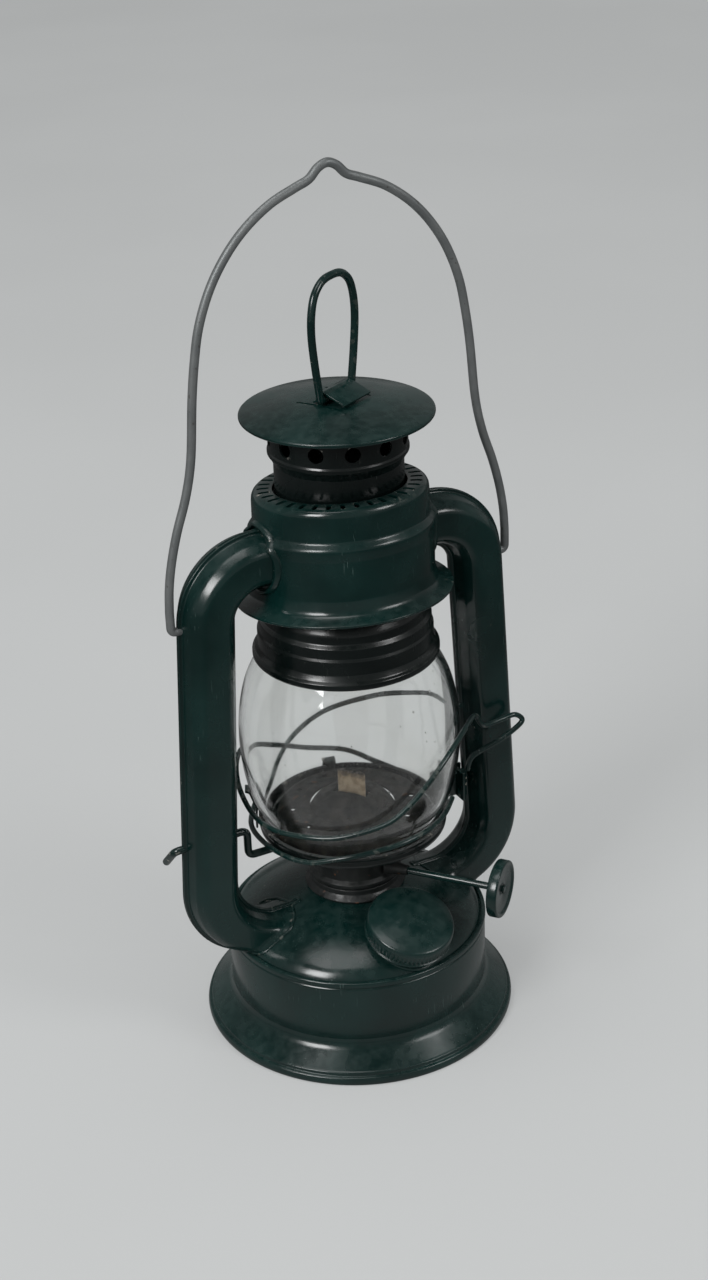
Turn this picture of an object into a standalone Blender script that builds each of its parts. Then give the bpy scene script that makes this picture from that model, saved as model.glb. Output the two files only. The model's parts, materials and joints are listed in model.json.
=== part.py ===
# Small tubular kerosene lantern: fount, burner, two air tubes, canopy, sliding chimney, lifting globe and bail.
# Metres, +Z up. The origin is on the floor at the middle of the foot; X runs through the two air tubes.
# Sizes ending in SHARE or SHARES are parts of a larger size. Heights build up from the floor, piece on piece.

import math

import bmesh
import bpy
from mathutils import Matrix, Vector

# General sizes
GAP = 0.0003                 # seating clearance between neighbouring pieces
RUNNING = 0.00035            # clearance round shafts and wires in their holes
SHEET = 0.0006               # tinplate thickness
OVERRUN = 0.004              # how far a cutter passes beyond what it cuts
ROUND_STEPS = 28
SMALL_STEPS = 20
SHAFT_STEPS = 12
WIRE_RESOLUTION = 1
SHARP_ANGLE = math.radians(38)

# Fount and foot
FOOT_RADIUS = 0.0452
FOOT_HEIGHT = 0.0125
FOOT_LIP = 0.0014
FOOT_SHARES = ((0.00, 1.00), (0.07, 0.76), (0.34, 0.57), (0.68, 0.36), (0.97, 0.16), (1.00, 0.06), (0.97, 0.00))
WALL_RADIUS = 0.0375
WALL_BOTTOM = 0.0060
SHOULDER_HEIGHT = 0.0290
DOME_RISE = 0.0107
DOME_SAG = 0.0017
DOME_SHEET = 0.0008
DOME_STEPS = 5
MOUTH_RADIUS = 0.0112
BOTTOM_HEIGHT = 0.0040
BOTTOM_FLANGE = 0.0050
DIVIDER_DROP = 0.0035
DIVIDER_FLANGE = 0.0040
FOUNT_TOP = SHOULDER_HEIGHT + DOME_RISE

# Burner collar, burner body and cone, each standing on the one below
COLLAR_BASE_RADIUS = 0.0145
COLLAR_RADIUS = 0.0132
COLLAR_HEIGHT = 0.0035
COLLAR_WAIST_SHARE = 0.55
COLLAR_BOTTOM = FOUNT_TOP + GAP + SHEET
BURNER_RADIUS = 0.0124
BURNER_GRIP_RADIUS = 0.0134
BURNER_GRIP_HEIGHT = 0.0013
BURNER_GRIP_SLOPE = 0.0007
BURNER_HEIGHT = 0.0144
BURNER_BOTTOM = COLLAR_BOTTOM + COLLAR_HEIGHT + GAP
CONE_RADIUS = 0.0130
CONE_SKIRT = 0.0052
CONE_RISE = 0.0058
CONE_SHARES = ((0.00, 1.00), (0.30, 0.96), (0.58, 0.78), (0.82, 0.46), (0.96, 0.00))
CONE_BOTTOM = BURNER_BOTTOM + BURNER_HEIGHT + GAP
CONE_TOP = CONE_BOTTOM + CONE_SKIRT + CONE_RISE

# Wick, wick tube and wick raiser
WICK_TURN = math.radians(-50.5)
WICK_WIDTH = 0.0084
WICK_THICKNESS = 0.0017
WICK_CLEARANCE = 0.0100
WICK_BOTTOM = BOTTOM_HEIGHT + WICK_CLEARANCE
WICK_SHOWING = 0.0062
WICK_TOP = CONE_TOP + WICK_SHOWING
WICK_TUBE_WALL = 0.00035
WICK_TUBE_START = 0.0070
WICK_TUBE_BOTTOM = SHOULDER_HEIGHT + WICK_TUBE_START
WICK_TUBE_SETBACK = 0.0015
SHAFT_RADIUS = 0.0010
SHAFT_RISE = 0.0048
SHAFT_HEIGHT = BURNER_BOTTOM + SHAFT_RISE
SHAFT_OFFSET = 0.0043
SHAFT_INNER = 0.0052
SPROCKET_THICKNESS = 0.0010
SPROCKET_SPACING = 0.0046
SPROCKET_TEETH = 8
SPROCKET_ROOT_SHARE = 0.76
BUSHING_RADIUS = 0.0022
BUSHING_LENGTH = 0.0032
KNOB_RADIUS = 0.0082
KNOB_DEPTH = 0.0030
KNOB_REACH = 0.0100
KNOB_FACE = WALL_RADIUS + KNOB_REACH
KNOB_SHEET = 0.0008
KNOB_HUB_RADIUS = 0.0021
KNOB_DISH = 0.0005
KNOB_DISH_SHARES = (0.80, 0.86)

# Filler neck and its screw cap, leaning outwards on the dome
FILLER_TURN = math.radians(-86)
FILLER_TILT = math.radians(20)
FILLER_INSET = 0.0100
FILLER_DISTANCE = WALL_RADIUS - FILLER_INSET
NECK_RADIUS = 0.0096
NECK_WALL = 0.0007
NECK_BELOW = 0.0110
SCREW_CAP_RADIUS = 0.0124
SCREW_CAP_WALL = 0.0007
SCREW_CAP_LIFT = 0.0020
SCREW_CAP_HEIGHT = 0.0066
SCREW_CAP_DISH_SHARES = (0.86, 0.89)
SCREW_CAP_RIBS = 24
SCREW_CAP_RIB_DEPTH = 0.00025
GASKET_THICKNESS = 0.0012
GASKET_BORE_SHARE = 0.45
GASKET_TOP = SCREW_CAP_LIFT + SCREW_CAP_HEIGHT - 2 * SCREW_CAP_WALL - GAP
NECK_ABOVE = GASKET_TOP - GASKET_THICKNESS - GAP

# Glass globe, given as shares of its largest radius and of its height from the top down, and the plate under it
GLASS_RADIUS = 0.0310
GLASS_HEIGHT = 0.0571
GLASS_WALL = 0.0016
GLASS_SHARES = (
    (0.742, 1.00), (0.785, 0.955), (0.835, 0.90), (0.920, 0.80), (0.975, 0.68), (1.000, 0.54),
    (0.991, 0.39), (0.950, 0.25), (0.890, 0.14), (0.835, 0.06), (0.819, 0.00))
PLATE_CLEARANCE = 0.0007
PLATE_BOTTOM = CONE_BOTTOM + PLATE_CLEARANCE
PLATE_MARGIN = 0.0015
PLATE_RADIUS = GLASS_RADIUS * GLASS_SHARES[-1][0] + PLATE_MARGIN
PLATE_WALL_HEIGHT = 0.0036
PLATE_BEAD_SHARE = 0.65
PLATE_TROUGH = 0.0045
PLATE_DISC_RADIUS = PLATE_RADIUS - PLATE_TROUGH
PLATE_DISC_RISE = 0.0056
PLATE_DISC_SHARES = ((0.93, 1.00), (0.975, 0.80))
PLATE_HOLE_MARGIN = 0.0010
PLATE_HOLE_RADIUS = CONE_RADIUS + PLATE_HOLE_MARGIN
PLATE_HOLES = 14
PLATE_AIR_HOLE_RADIUS = 0.0011
PLATE_AIR_HOLE_STEPS = 6
GLASS_BOTTOM = PLATE_BOTTOM + SHEET + GAP
GLASS_TOP = GLASS_BOTTOM + GLASS_HEIGHT

# Chimney, and the bell at its foot that sits on the globe
BELL_MARGIN = 0.0028
BELL_RADIUS = GLASS_RADIUS * GLASS_SHARES[0][0] + BELL_MARGIN
BELL_RING_STEP = 0.0020
BELL_BODY_RADIUS = BELL_RADIUS - BELL_RING_STEP
BELL_OVERLAP = 0.0032
BELL_BOTTOM = GLASS_TOP - BELL_OVERLAP
BELL_SHOULDER = 0.0065
CHIMNEY_RADIUS = BELL_BODY_RADIUS - BELL_SHOULDER
CHIMNEY_NECK_STEP = 0.0012
CHIMNEY_NECK_RADIUS = CHIMNEY_RADIUS + CHIMNEY_NECK_STEP
BELL_HEIGHT = 0.0190
BELL_COLLAR_HEIGHT = 0.0034
BELL_TOP_SHARES = ((0.30, 0.96), (0.00, 0.80))
BELL_RING_SHARES = ((0.05, 0.60), (0.42, 0.55), (0.45, 0.40), (0.90, 0.27), (1.00, 0.12), (0.95, 0.00))
SEAT_MARGIN = 0.0017
SEAT_INNER_RADIUS = CHIMNEY_RADIUS + SEAT_MARGIN

# Canopy
CANOPY_CLEARANCE = 0.0137
CANOPY_SKIRT_HEIGHT = GLASS_TOP + CANOPY_CLEARANCE
CANOPY_SKIRT_MARGIN = 0.0039
CANOPY_SKIRT_RADIUS = BELL_RADIUS + CANOPY_SKIRT_MARGIN
CANOPY_MARGIN = 0.0011
CANOPY_BODY_RADIUS = BELL_BODY_RADIUS + CANOPY_MARGIN
CANOPY_FLARE_RISE = 0.0080
CANOPY_FLARE_HEIGHT = CANOPY_SKIRT_HEIGHT + CANOPY_FLARE_RISE
CANOPY_FLARE_SHARES = ((0.12, 0.00), (0.42, 0.50), (0.96, 0.80), (0.96, 1.00))
CANOPY_BEAD_STEP = 0.0002
CANOPY_BEAD_RADIUS = CANOPY_BODY_RADIUS + CANOPY_BEAD_STEP
CANOPY_BEAD_RISE = 0.0209
CANOPY_BEAD_HEIGHT = CANOPY_SKIRT_HEIGHT + CANOPY_BEAD_RISE
CANOPY_BEAD_HALF = 0.0012
CANOPY_TAPER = 0.0012
CANOPY_TOP_RADIUS = CANOPY_BODY_RADIUS - CANOPY_TAPER
CANOPY_SHOULDER_SHARE = 0.95
CANOPY_RISE = 0.0354
CANOPY_TOP = CANOPY_SKIRT_HEIGHT + CANOPY_RISE
SLOT_COUNT = 28
SLOT_LENGTH = 0.0024
SLOT_WIDTH = 0.0011
SLOT_MARGIN = 0.0019
SLOT_INNER_RADIUS = CHIMNEY_RADIUS + SLOT_MARGIN
GUIDE_SLEEVE_LENGTH = 0.0120

# Upper chimney and its cap
CHIMNEY_STEP_RISE = 0.0043
CHIMNEY_STEP_HEIGHT = CANOPY_TOP + CHIMNEY_STEP_RISE
CHIMNEY_STEP = 0.0016
CHIMNEY_RISE = 0.0177
CHIMNEY_TOP = CANOPY_TOP + CHIMNEY_RISE
CHIMNEY_HOLES = 12
CHIMNEY_HOLE_RADIUS = 0.0021
CHIMNEY_HOLE_RISE = 0.0113
CHIMNEY_HOLE_HEIGHT = CANOPY_TOP + CHIMNEY_HOLE_RISE
CHIMNEY_HOLE_STEPS = 8
CAP_OVERHANG = 0.0085
CAP_RADIUS = CHIMNEY_RADIUS + CAP_OVERHANG
CAP_RIM_DROP = 0.0001
CAP_RIM_HEIGHT = CHIMNEY_TOP - CAP_RIM_DROP
CAP_RIM_ROLL = 0.0006
CAP_RISE = 0.0032
CAP_STEPS = 4
LIFT_RING_TURN = math.radians(29)
LIFT_RING_WIRE = 0.0021
LIFT_RING_HALF_WIDTH = 0.0099
LIFT_RING_FOOT = 0.0072
LIFT_RING_HEIGHT = 0.0316
LIFT_RING_SHARES = (
    (0.78, 0.09), (0.90, 0.30), (1.00, 0.55), (0.97, 0.74), (0.80, 0.89), (0.45, 0.98), (0.00, 1.00))
RING_SEAT = CAP_RIM_HEIGHT + CAP_RISE + LIFT_RING_WIRE / 2 + GAP
BRIDGE_LENGTH = 0.0100
BRIDGE_WIDTH = 0.0094
BRIDGE_FOOT = 0.0022

# Air tubes, each pressed in two halves with a flange along the seam
TUBE_HALF_BODY = 0.0069
TUBE_FLANGE = 0.0013
TUBE_FLANGE_EDGE = TUBE_HALF_BODY + TUBE_FLANGE
TUBE_DEPTH = 0.0076
TUBE_SECTION_SHARES = ((0.86, 0.70), (0.56, 1.00))
TUBE_SEAM = 0.0003
TUBE_TOP_RISE = 0.0165
TUBE_TOP_HEIGHT = CANOPY_SKIRT_HEIGHT + TUBE_TOP_RISE
TUBE_TOP_REACH = 0.0100
TUBE_TOP_X = GLASS_RADIUS + TUBE_TOP_REACH
TUBE_TOP_BEND = 0.0150
TUBE_LOW_REACH = 0.0144
TUBE_LOW_X = GLASS_RADIUS + TUBE_LOW_REACH
TUBE_LOW_RISE = 0.0040
TUBE_LOW_HEIGHT = SHOULDER_HEIGHT + TUBE_LOW_RISE
TUBE_LOW_BEND = 0.0180
TUBE_END_SHARE = 0.70
TUBE_BEND_STEPS = 5
PORT_SHARE = 0.88
TUBE_COLLAR_RADIUS = 0.0106
TUBE_COLLAR_TIP = 0.0096
TUBE_COLLAR_BORE = 0.0091
TUBE_COLLAR_DEPTH = 0.0022

# Globe carrier: spring prongs, guide strap and guard wires
GUARD_WIRE = 0.0015
GUARD_LAYER = 0.0018
PRONG_WIDTH = 0.0040
PRONG_HEIGHT = 0.0115
PRONG_STATION_SHARES = (0.62, 0.85, 1.00)
PRONG_STANDOFF = 0.0005
PRONG_LIP = 0.0012
PRONG_TURNS = {"left": math.radians(155), "back": math.radians(78), "right": math.radians(-16)}
STRAP_SHEET = 0.0008
STRAP_DROP = 0.0020
STRAP_BOTTOM = PLATE_BOTTOM - STRAP_DROP
STRAP_HEIGHT = 0.0092
STRAP_CLEARANCE = 0.0116
STRAP_ARM_END = TUBE_LOW_X - STRAP_CLEARANCE
STRAP_HALF_WIDTH = 0.0046
STRAP_FINGER = 0.0020
STRAP_SLOT_HALF = 0.0013
FRONT_GUARD = (              # turn in degrees, share of the globe's height, wire layer
    (31, 0.016, 0), (48, 0.045, 0.2), (67, 0.095, 1), (90, 0.140, 1), (113, 0.240, 0), (135, 0.335, 0),
    (155, 0.360, 0.3), (168, 0.285, 0.9), (180, 0.190, 0.9), (195, 0.165, 0.6), (215, 0.180, 0.2), (236, 0.200, 0),
    (260, 0.262, 0), (273, 0.340, 0), (285, 0.430, 0), (300, 0.512, 0), (317, 0.555, 0.4))
BACK_GUARD = (
    (-12, 0.530, 0.5), (9, 0.500, 0.5), (23, 0.465, 0.6), (47, 0.395, 0.8), (71, 0.325, 1.1), (85, 0.262, 1.7),
    (98, 0.190, 2.1), (111, 0.115, 1.8), (125, 0.050, 0.8), (140, 0.016, 0.7), (160, 0.010, 0.7), (180, 0.010, 0.2),
    (200, 0.010, 0), (217, 0.018, 0), (232, 0.055, 0), (247, 0.080, 0), (270, 0.100, 0), (290, 0.110, 0),
    (308, 0.120, 0), (322, 0.150, 0))
FINGER_LOOP_ROOT = GLASS_RADIUS + 2 * GUARD_LAYER
FINGER_LOOP_REACH = 0.0039
FINGER_LOOP_TIP = TUBE_LOW_X + FINGER_LOOP_REACH
FINGER_LOOP_Y = -0.0122
FINGER_LOOP_RISE = 0.0242
FINGER_LOOP_HEIGHT = PLATE_BOTTOM + FINGER_LOOP_RISE
FINGER_LOOP_HALF = 0.0026
FINGER_LOOP_SHARES = (       # way out from root to tip, share of the loop's Y, height in half loops
    (-0.19, 1.22, 2.9), (-0.02, 1.18, 1.6), (0.14, 1.08, 0.9), (0.53, 1.00, 0.85), (0.83, 1.00, 0.95),
    (1.00, 1.00, 0.0), (0.80, 1.00, -0.9), (0.46, 1.00, -1.7), (-0.12, 1.00, -2.7), (-0.24, 0.98, -4.3))

# Lever that lifts the globe; its pin lies under the plate
LEVER_WIRE = 0.0022
LEVER_RISE = 0.0069
LEVER_HEIGHT = PLATE_BOTTOM + LEVER_RISE
LEVER_REACH = 0.0097
LEVER_OUTER = TUBE_LOW_X + LEVER_REACH
LEVER_INSET = 0.0122
LEVER_INNER = TUBE_LOW_X - LEVER_INSET
LEVER_PIN_LAP = 0.0064
LEVER_PIN_END = PLATE_RADIUS - LEVER_PIN_LAP
LEVER_ARM = 0.0100
LEVER_BEND = 0.0021
LEVER_THROW = LEVER_HEIGHT - (PLATE_BOTTOM - GAP - LEVER_WIRE / 2)

# Bail, given as shares of its half width and height above its pivots
BAIL_WIRE = 0.0024
BAIL_MARGIN = 0.0019
BAIL_HALF_WIDTH = TUBE_TOP_X + TUBE_FLANGE_EDGE + BAIL_MARGIN
BAIL_HEIGHT = 0.1166
BAIL_PIVOT_DROP = 0.0004
BAIL_PIVOT_HEIGHT = TUBE_TOP_HEIGHT - TUBE_TOP_BEND - BAIL_PIVOT_DROP
BAIL_HOOK = 0.0050
BAIL_ELBOW = 0.0014
BAIL_SHARES = (
    (1.000, 0.052), (0.990, 0.110), (0.965, 0.172), (0.923, 0.240), (0.862, 0.318), (0.820, 0.403),
    (0.792, 0.532), (0.765, 0.618), (0.728, 0.695), (0.658, 0.772), (0.563, 0.837), (0.451, 0.889),
    (0.315, 0.931), (0.177, 0.957), (0.103, 0.970), (0.052, 0.991), (0.000, 1.000))


# Scene and materials

def clear_scene():
    for item in list(bpy.data.objects):
        bpy.data.objects.remove(item, do_unlink=True)


def material(name, colour, roughness, metallic=0.0, transmission=0.0):
    made = bpy.data.materials.new(name)
    made.use_nodes = True
    shader = made.node_tree.nodes["Principled BSDF"]
    shader.inputs["Base Color"].default_value = (*colour, 1.0)
    shader.inputs["Roughness"].default_value = roughness
    shader.inputs["Metallic"].default_value = metallic
    shader.inputs["Transmission Weight"].default_value = transmission
    return made


def make_materials():
    return {
        "enamel": material("dark green enamel", (0.008, 0.045, 0.042), 0.22),
        "black": material("black enamel", (0.008, 0.011, 0.011), 0.30),
        "zinc": material("galvanised wire", (0.28, 0.29, 0.29), 0.45, 1.0),
        "glass": material("clear glass", (0.95, 0.96, 0.96), 0.03, 0.0, 1.0),
        "soot": material("sooty tinplate", (0.06, 0.055, 0.05), 0.65, 0.6),
        "tin": material("bare tinplate", (0.45, 0.42, 0.38), 0.40, 1.0),
        "cotton": material("wick cotton", (0.42, 0.31, 0.20), 0.95),
        "cork": material("cork seal", (0.35, 0.22, 0.12), 0.90),
    }


# Mesh helpers

def finish_mesh(name, mesh_data, paint, parent=None):
    mesh_data.shade_smooth()
    mesh_data.set_sharp_from_angle(angle=SHARP_ANGLE)
    made = bpy.data.objects.new(name, mesh_data)
    bpy.context.collection.objects.link(made)
    if paint is not None:
        mesh_data.materials.append(paint)
    if parent is not None:
        made.parent = parent
    return made


def mesh_from(name, bm):
    bmesh.ops.recalc_face_normals(bm, faces=bm.faces)
    mesh_data = bpy.data.meshes.new(name)
    bm.to_mesh(mesh_data)
    bm.free()
    return mesh_data


def pivot(name, place, turn=None, parent=None):
    made = bpy.data.objects.new(name, None)
    bpy.context.collection.objects.link(made)
    made.parent = parent
    made.location = place
    if turn is not None:
        made.rotation_euler = turn
    return made


def offset_outline(points, distance):
    """Shift an open outline sideways, to the right of its direction of travel, by a sheet's thickness."""
    shifted = []
    count = len(points)
    for index in range(count):
        here = Vector(points[index])
        before = Vector(points[max(index - 1, 0)])
        after = Vector(points[min(index + 1, count - 1)])
        if index == 0:
            before = here
        if index == count - 1:
            after = here
        normals = []
        for start, end in ((before, here), (here, after)):
            step = end - start
            if step.length > 0:
                normals.append(Vector((step.y, -step.x)).normalized())
        normal = sum(normals, Vector((0.0, 0.0))).normalized()
        spread = max(normal.dot(normals[0]), math.cos(math.pi / 3))
        place = here + normal * (distance / spread)
        shifted.append((max(place.x, 0.0), place.y))
    return shifted


def sheet_outline(points, thickness):
    """Close an outline that runs down the outer side into the section of a thin sheet."""
    inner = offset_outline(points, thickness)
    if points[0][0] == 0:
        inner[0] = (0.0, inner[0][1])
    return list(points) + inner[::-1]


def lathe(name, outline, paint, steps=ROUND_STEPS, parent=None):
    """Spin a closed section, or one that starts and ends on the axis, round Z."""
    bm = bmesh.new()
    verts = [bm.verts.new((radius, 0.0, height)) for radius, height in outline]
    on_axis = outline[0][0] == 0 and outline[-1][0] == 0
    edges = [bm.edges.new(pair) for pair in zip(verts, verts[1:])]
    if not on_axis:
        edges.append(bm.edges.new((verts[-1], verts[0])))
    bmesh.ops.spin(bm, geom=verts + edges, cent=(0, 0, 0), axis=(0, 0, 1), angle=math.tau, steps=steps)
    bmesh.ops.remove_doubles(bm, verts=bm.verts, dist=SHEET / 1000)
    return finish_mesh(name, mesh_from(name, bm), paint, parent)


def loft(name, rings, paint, closed=True, parent=None):
    """Skin rings of equal length; a loft that isn't closed on itself gets flat ends made of paired points."""
    bm = bmesh.new()
    rows = [[bm.verts.new(point) for point in ring] for ring in rings]
    size = len(rows[0])
    pairs = list(zip(rows, rows[1:]))
    if closed:
        pairs.append((rows[-1], rows[0]))
    for low, high in pairs:
        for index in range(size):
            after = (index + 1) % size
            bm.faces.new((low[index], low[after], high[after], high[index]))
    if not closed:
        for row in (rows[0], rows[-1]):
            for index in range(size // 2 - 1):
                bm.faces.new((row[index], row[index + 1], row[size - 2 - index], row[size - 1 - index]))
    return finish_mesh(name, mesh_from(name, bm), paint, parent)


def extrude_outline(name, outline, low, high, paint, parent=None):
    """A flat plan outline raised from one height to another."""
    bm = bmesh.new()
    face = bm.faces.new([bm.verts.new((x, y, low)) for x, y in outline])
    raised = bmesh.ops.extrude_face_region(bm, geom=[face])
    verts = [item for item in raised["geom"] if isinstance(item, bmesh.types.BMVert)]
    bmesh.ops.translate(bm, verts=verts, vec=(0, 0, high - low))
    return finish_mesh(name, mesh_from(name, bm), paint, parent)


def cylinder_mesh(name, radius, length, steps):
    bm = bmesh.new()
    bmesh.ops.create_cone(
        bm, cap_ends=True, segments=steps, radius1=radius, radius2=radius, depth=length)
    return mesh_from(name, bm)


def box_mesh(name, size):
    bm = bmesh.new()
    bmesh.ops.create_cube(bm, size=1.0)
    bmesh.ops.scale(bm, vec=size, verts=bm.verts)
    return mesh_from(name, bm)


def cutter(name, mesh_data, matrix):
    made = bpy.data.objects.new(name, mesh_data)
    bpy.context.collection.objects.link(made)
    made.matrix_world = matrix
    made.hide_render = True
    made.display_type = "WIRE"
    return made


def cut(target, tool, operation="DIFFERENCE"):
    step = target.modifiers.new(tool.name, "BOOLEAN")
    step.operation = operation
    step.solver = "EXACT"
    step.object = tool


def joined_cutter(name, pieces):
    """One cutter made of several separate closed shapes, each given as a mesh and a matrix."""
    bm = bmesh.new()
    for mesh_data, matrix in pieces:
        part = mesh_data.copy()
        part.transform(matrix)
        bm.from_mesh(part)
    return cutter(name, mesh_from(name, bm), Matrix.Identity(4))


def ring_of(mesh_data, count, matrix_at):
    return [(mesh_data, matrix_at(math.tau * index / count)) for index in range(count)]


def wire(name, points, diameter, paint, cyclic=False, parent=None):
    """A round wire: a curve with a round bevel along the given points."""
    data = bpy.data.curves.new(name, "CURVE")
    data.dimensions = "3D"
    data.bevel_depth = diameter / 2
    data.bevel_resolution = WIRE_RESOLUTION
    data.use_fill_caps = True
    spline = data.splines.new("POLY")
    spline.points.add(len(points) - 1)
    for index, point in enumerate(points):
        spline.points[index].co = (*point, 1.0)
    spline.use_cyclic_u = cyclic
    spline.use_smooth = True
    data.materials.append(paint)
    made = bpy.data.objects.new(name, data)
    bpy.context.collection.objects.link(made)
    made.parent = parent
    return made


def smooth_path(points, steps, cyclic=False):
    """Points on a smooth curve through the given ones."""
    count = len(points)
    spans = count if cyclic else count - 1
    out = []
    for span in range(spans):
        if cyclic:
            chosen = [Vector(points[(span + shift) % count]) for shift in (-1, 0, 1, 2)]
        else:
            chosen = [Vector(points[min(max(span + shift, 0), count - 1)]) for shift in (-1, 0, 1, 2)]
        a, b, c, d = chosen
        for step in range(steps):
            t = step / steps
            out.append(0.5 * (2 * b + (c - a) * t + (2 * a - 5 * b + 4 * c - d) * t ** 2
                              + (3 * b - a - 3 * c + d) * t ** 3))
    if not cyclic:
        out.append(Vector(points[-1]))
    return out


def rounded_path(points, radius, steps=4):
    """A chain of straight runs with its corners rounded to one radius."""
    out = [Vector(points[0])]
    for before, corner, after in zip(points, points[1:], points[2:]):
        corner = Vector(corner)
        into = (corner - Vector(before)).normalized()
        away = (Vector(after) - corner).normalized()
        turn = into.angle(away)
        reach = radius * math.tan(turn / 2)
        start = corner - into * reach
        centre = start + (away - into * away.dot(into)).normalized() * radius
        spoke = start - centre
        axis = into.cross(away).normalized()
        for step in range(steps + 1):
            out.append(centre + Matrix.Rotation(turn * step / steps, 3, axis) @ spoke)
    out.append(Vector(points[-1]))
    return out


# Fount and foot

def dome_centre():
    """Centre and radius of the arc that domes the fount from its shoulder to the burner collar."""
    start = Vector((WALL_RADIUS, SHOULDER_HEIGHT))
    end = Vector((COLLAR_BASE_RADIUS, FOUNT_TOP))
    half = (end - start).length / 2
    radius = (half ** 2 + DOME_SAG ** 2) / (2 * DOME_SAG)
    middle = (start + end) / 2
    along = (end - start).normalized()
    outward = Vector((along.y, -along.x))
    centre = middle - outward * (radius - DOME_SAG)
    return centre, radius


def dome_height(distance):
    centre, radius = dome_centre()
    return centre.y + math.sqrt(radius ** 2 - (distance - centre.x) ** 2)


def filler_frame():
    """Place and direction of the filler: its base point on the dome, its axis leaning outwards."""
    base = Vector((FILLER_DISTANCE * math.cos(FILLER_TURN), FILLER_DISTANCE * math.sin(FILLER_TURN),
                   dome_height(FILLER_DISTANCE)))
    turn = Matrix.Rotation(FILLER_TURN, 4, "Z") @ Matrix.Rotation(FILLER_TILT, 4, "Y")
    return Matrix.Translation(base) @ turn


def fount_outline():
    outline = []
    for step in range(DOME_STEPS + 1):
        reach = MOUTH_RADIUS + (WALL_RADIUS - MOUTH_RADIUS) * step / DOME_STEPS
        outline.append((reach, dome_height(reach)))
    outline.append((WALL_RADIUS, SHOULDER_HEIGHT - DOME_SHEET))
    outline.append((WALL_RADIUS, WALL_BOTTOM))
    return outline


def fount_shell(paints):
    shell = lathe("fount_shell", sheet_outline(fount_outline(), DOME_SHEET), paints["enamel"])
    bore = cylinder_mesh("filler bore", NECK_RADIUS + GAP, NECK_BELOW, SMALL_STEPS)
    cut(shell, cutter("filler_bore_in_dome", bore, filler_frame()))
    for side in (-1, 1):
        cut(shell, tube_port("fount_port", side, low=True))
    return shell


def foot_ring(paints):
    sleeve = WALL_RADIUS + GAP + SHEET
    outline = [(sleeve + share * (FOOT_RADIUS - sleeve), high * FOOT_HEIGHT) for share, high in FOOT_SHARES]
    outline.append((FOOT_RADIUS - FOOT_LIP, 0.0))
    return lathe("foot_ring", sheet_outline(outline, SHEET), paints["enamel"])


def fount_bottom(paints):
    edge = WALL_RADIUS - DOME_SHEET - GAP
    low = BOTTOM_HEIGHT
    outline = [(0.0, low + 2 * SHEET), (edge - 2 * SHEET, low + SHEET), (edge - SHEET, low + 2 * SHEET),
               (edge - SHEET, low + BOTTOM_FLANGE), (edge, low + BOTTOM_FLANGE), (edge, low + SHEET),
               (edge - SHEET, low), (0.0, low + SHEET)]
    return lathe("fount_bottom", outline, paints["tin"])


def fount_divider(paints):
    """The pan that keeps the oil below from the air chamber under the dome."""
    edge = WALL_RADIUS - DOME_SHEET - GAP
    top = SHOULDER_HEIGHT - DIVIDER_DROP
    outline = [(MOUTH_RADIUS, top), (edge, top), (edge, top - DIVIDER_FLANGE),
               (edge - SHEET, top - DIVIDER_FLANGE), (edge - SHEET, top - SHEET), (MOUTH_RADIUS, top - SHEET)]
    pan = lathe("fount_divider", outline, paints["tin"])
    bore = cylinder_mesh("filler bore low", NECK_RADIUS + GAP, 4 * NECK_BELOW, SMALL_STEPS)
    cut(pan, cutter("filler_bore_in_divider", bore, filler_frame()))
    return pan


def filler_neck(paints, frame):
    bore = NECK_RADIUS - NECK_WALL
    outline = [(bore, NECK_ABOVE), (NECK_RADIUS - NECK_WALL / 2, NECK_ABOVE), (NECK_RADIUS, NECK_ABOVE - NECK_WALL),
               (NECK_RADIUS, -NECK_BELOW), (bore, -NECK_BELOW)]
    return lathe("filler_neck", outline, paints["tin"], SMALL_STEPS, frame)


def filler_cap(paints, frame):
    """Screw cap with a ribbed skirt: the rib tips and roots alternate round it."""
    low = SCREW_CAP_LIFT
    high = low + SCREW_CAP_HEIGHT
    wall = SCREW_CAP_WALL
    edge = SCREW_CAP_RADIUS
    dish, brim = SCREW_CAP_DISH_SHARES
    outer = [(0.0, high - wall / 2, 0), (dish * edge, high - wall / 2, 0), (brim * edge, high, 0),
             (edge - wall, high, 0), (edge, high - wall, 1), (edge, low, 1)]
    inner = [(edge - wall, low, 0), (edge - wall, high - 2 * wall, 0), (0.0, high - 2 * wall, 0)]
    bm = bmesh.new()
    count = 2 * SCREW_CAP_RIBS
    rows = []
    for radius, height, ribbed in outer + inner:
        if radius == 0:
            rows.append([bm.verts.new((0, 0, height))] * count)
            continue
        row = []
        for index in range(count):
            reach = radius - ribbed * (index % 2) * SCREW_CAP_RIB_DEPTH
            angle = math.tau * index / count
            row.append(bm.verts.new((reach * math.cos(angle), reach * math.sin(angle), height)))
        rows.append(row)
    for above, below in zip(rows, rows[1:]):
        for index in range(count):
            after = (index + 1) % count
            corners = [above[index], above[after], below[after], below[index]]
            bm.faces.new(list(dict.fromkeys(corners)))
    return finish_mesh("filler_cap", mesh_from("filler_cap", bm), paints["enamel"], frame)


def filler_gasket(paints, frame):
    edge = SCREW_CAP_RADIUS - SCREW_CAP_WALL - GAP
    bore = GASKET_BORE_SHARE * edge
    low = GASKET_TOP - GASKET_THICKNESS
    outline = [(bore, GASKET_TOP), (edge, GASKET_TOP), (edge, low), (bore, low)]
    return lathe("filler_gasket", outline, paints["cork"], SMALL_STEPS, frame)


# Burner

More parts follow.
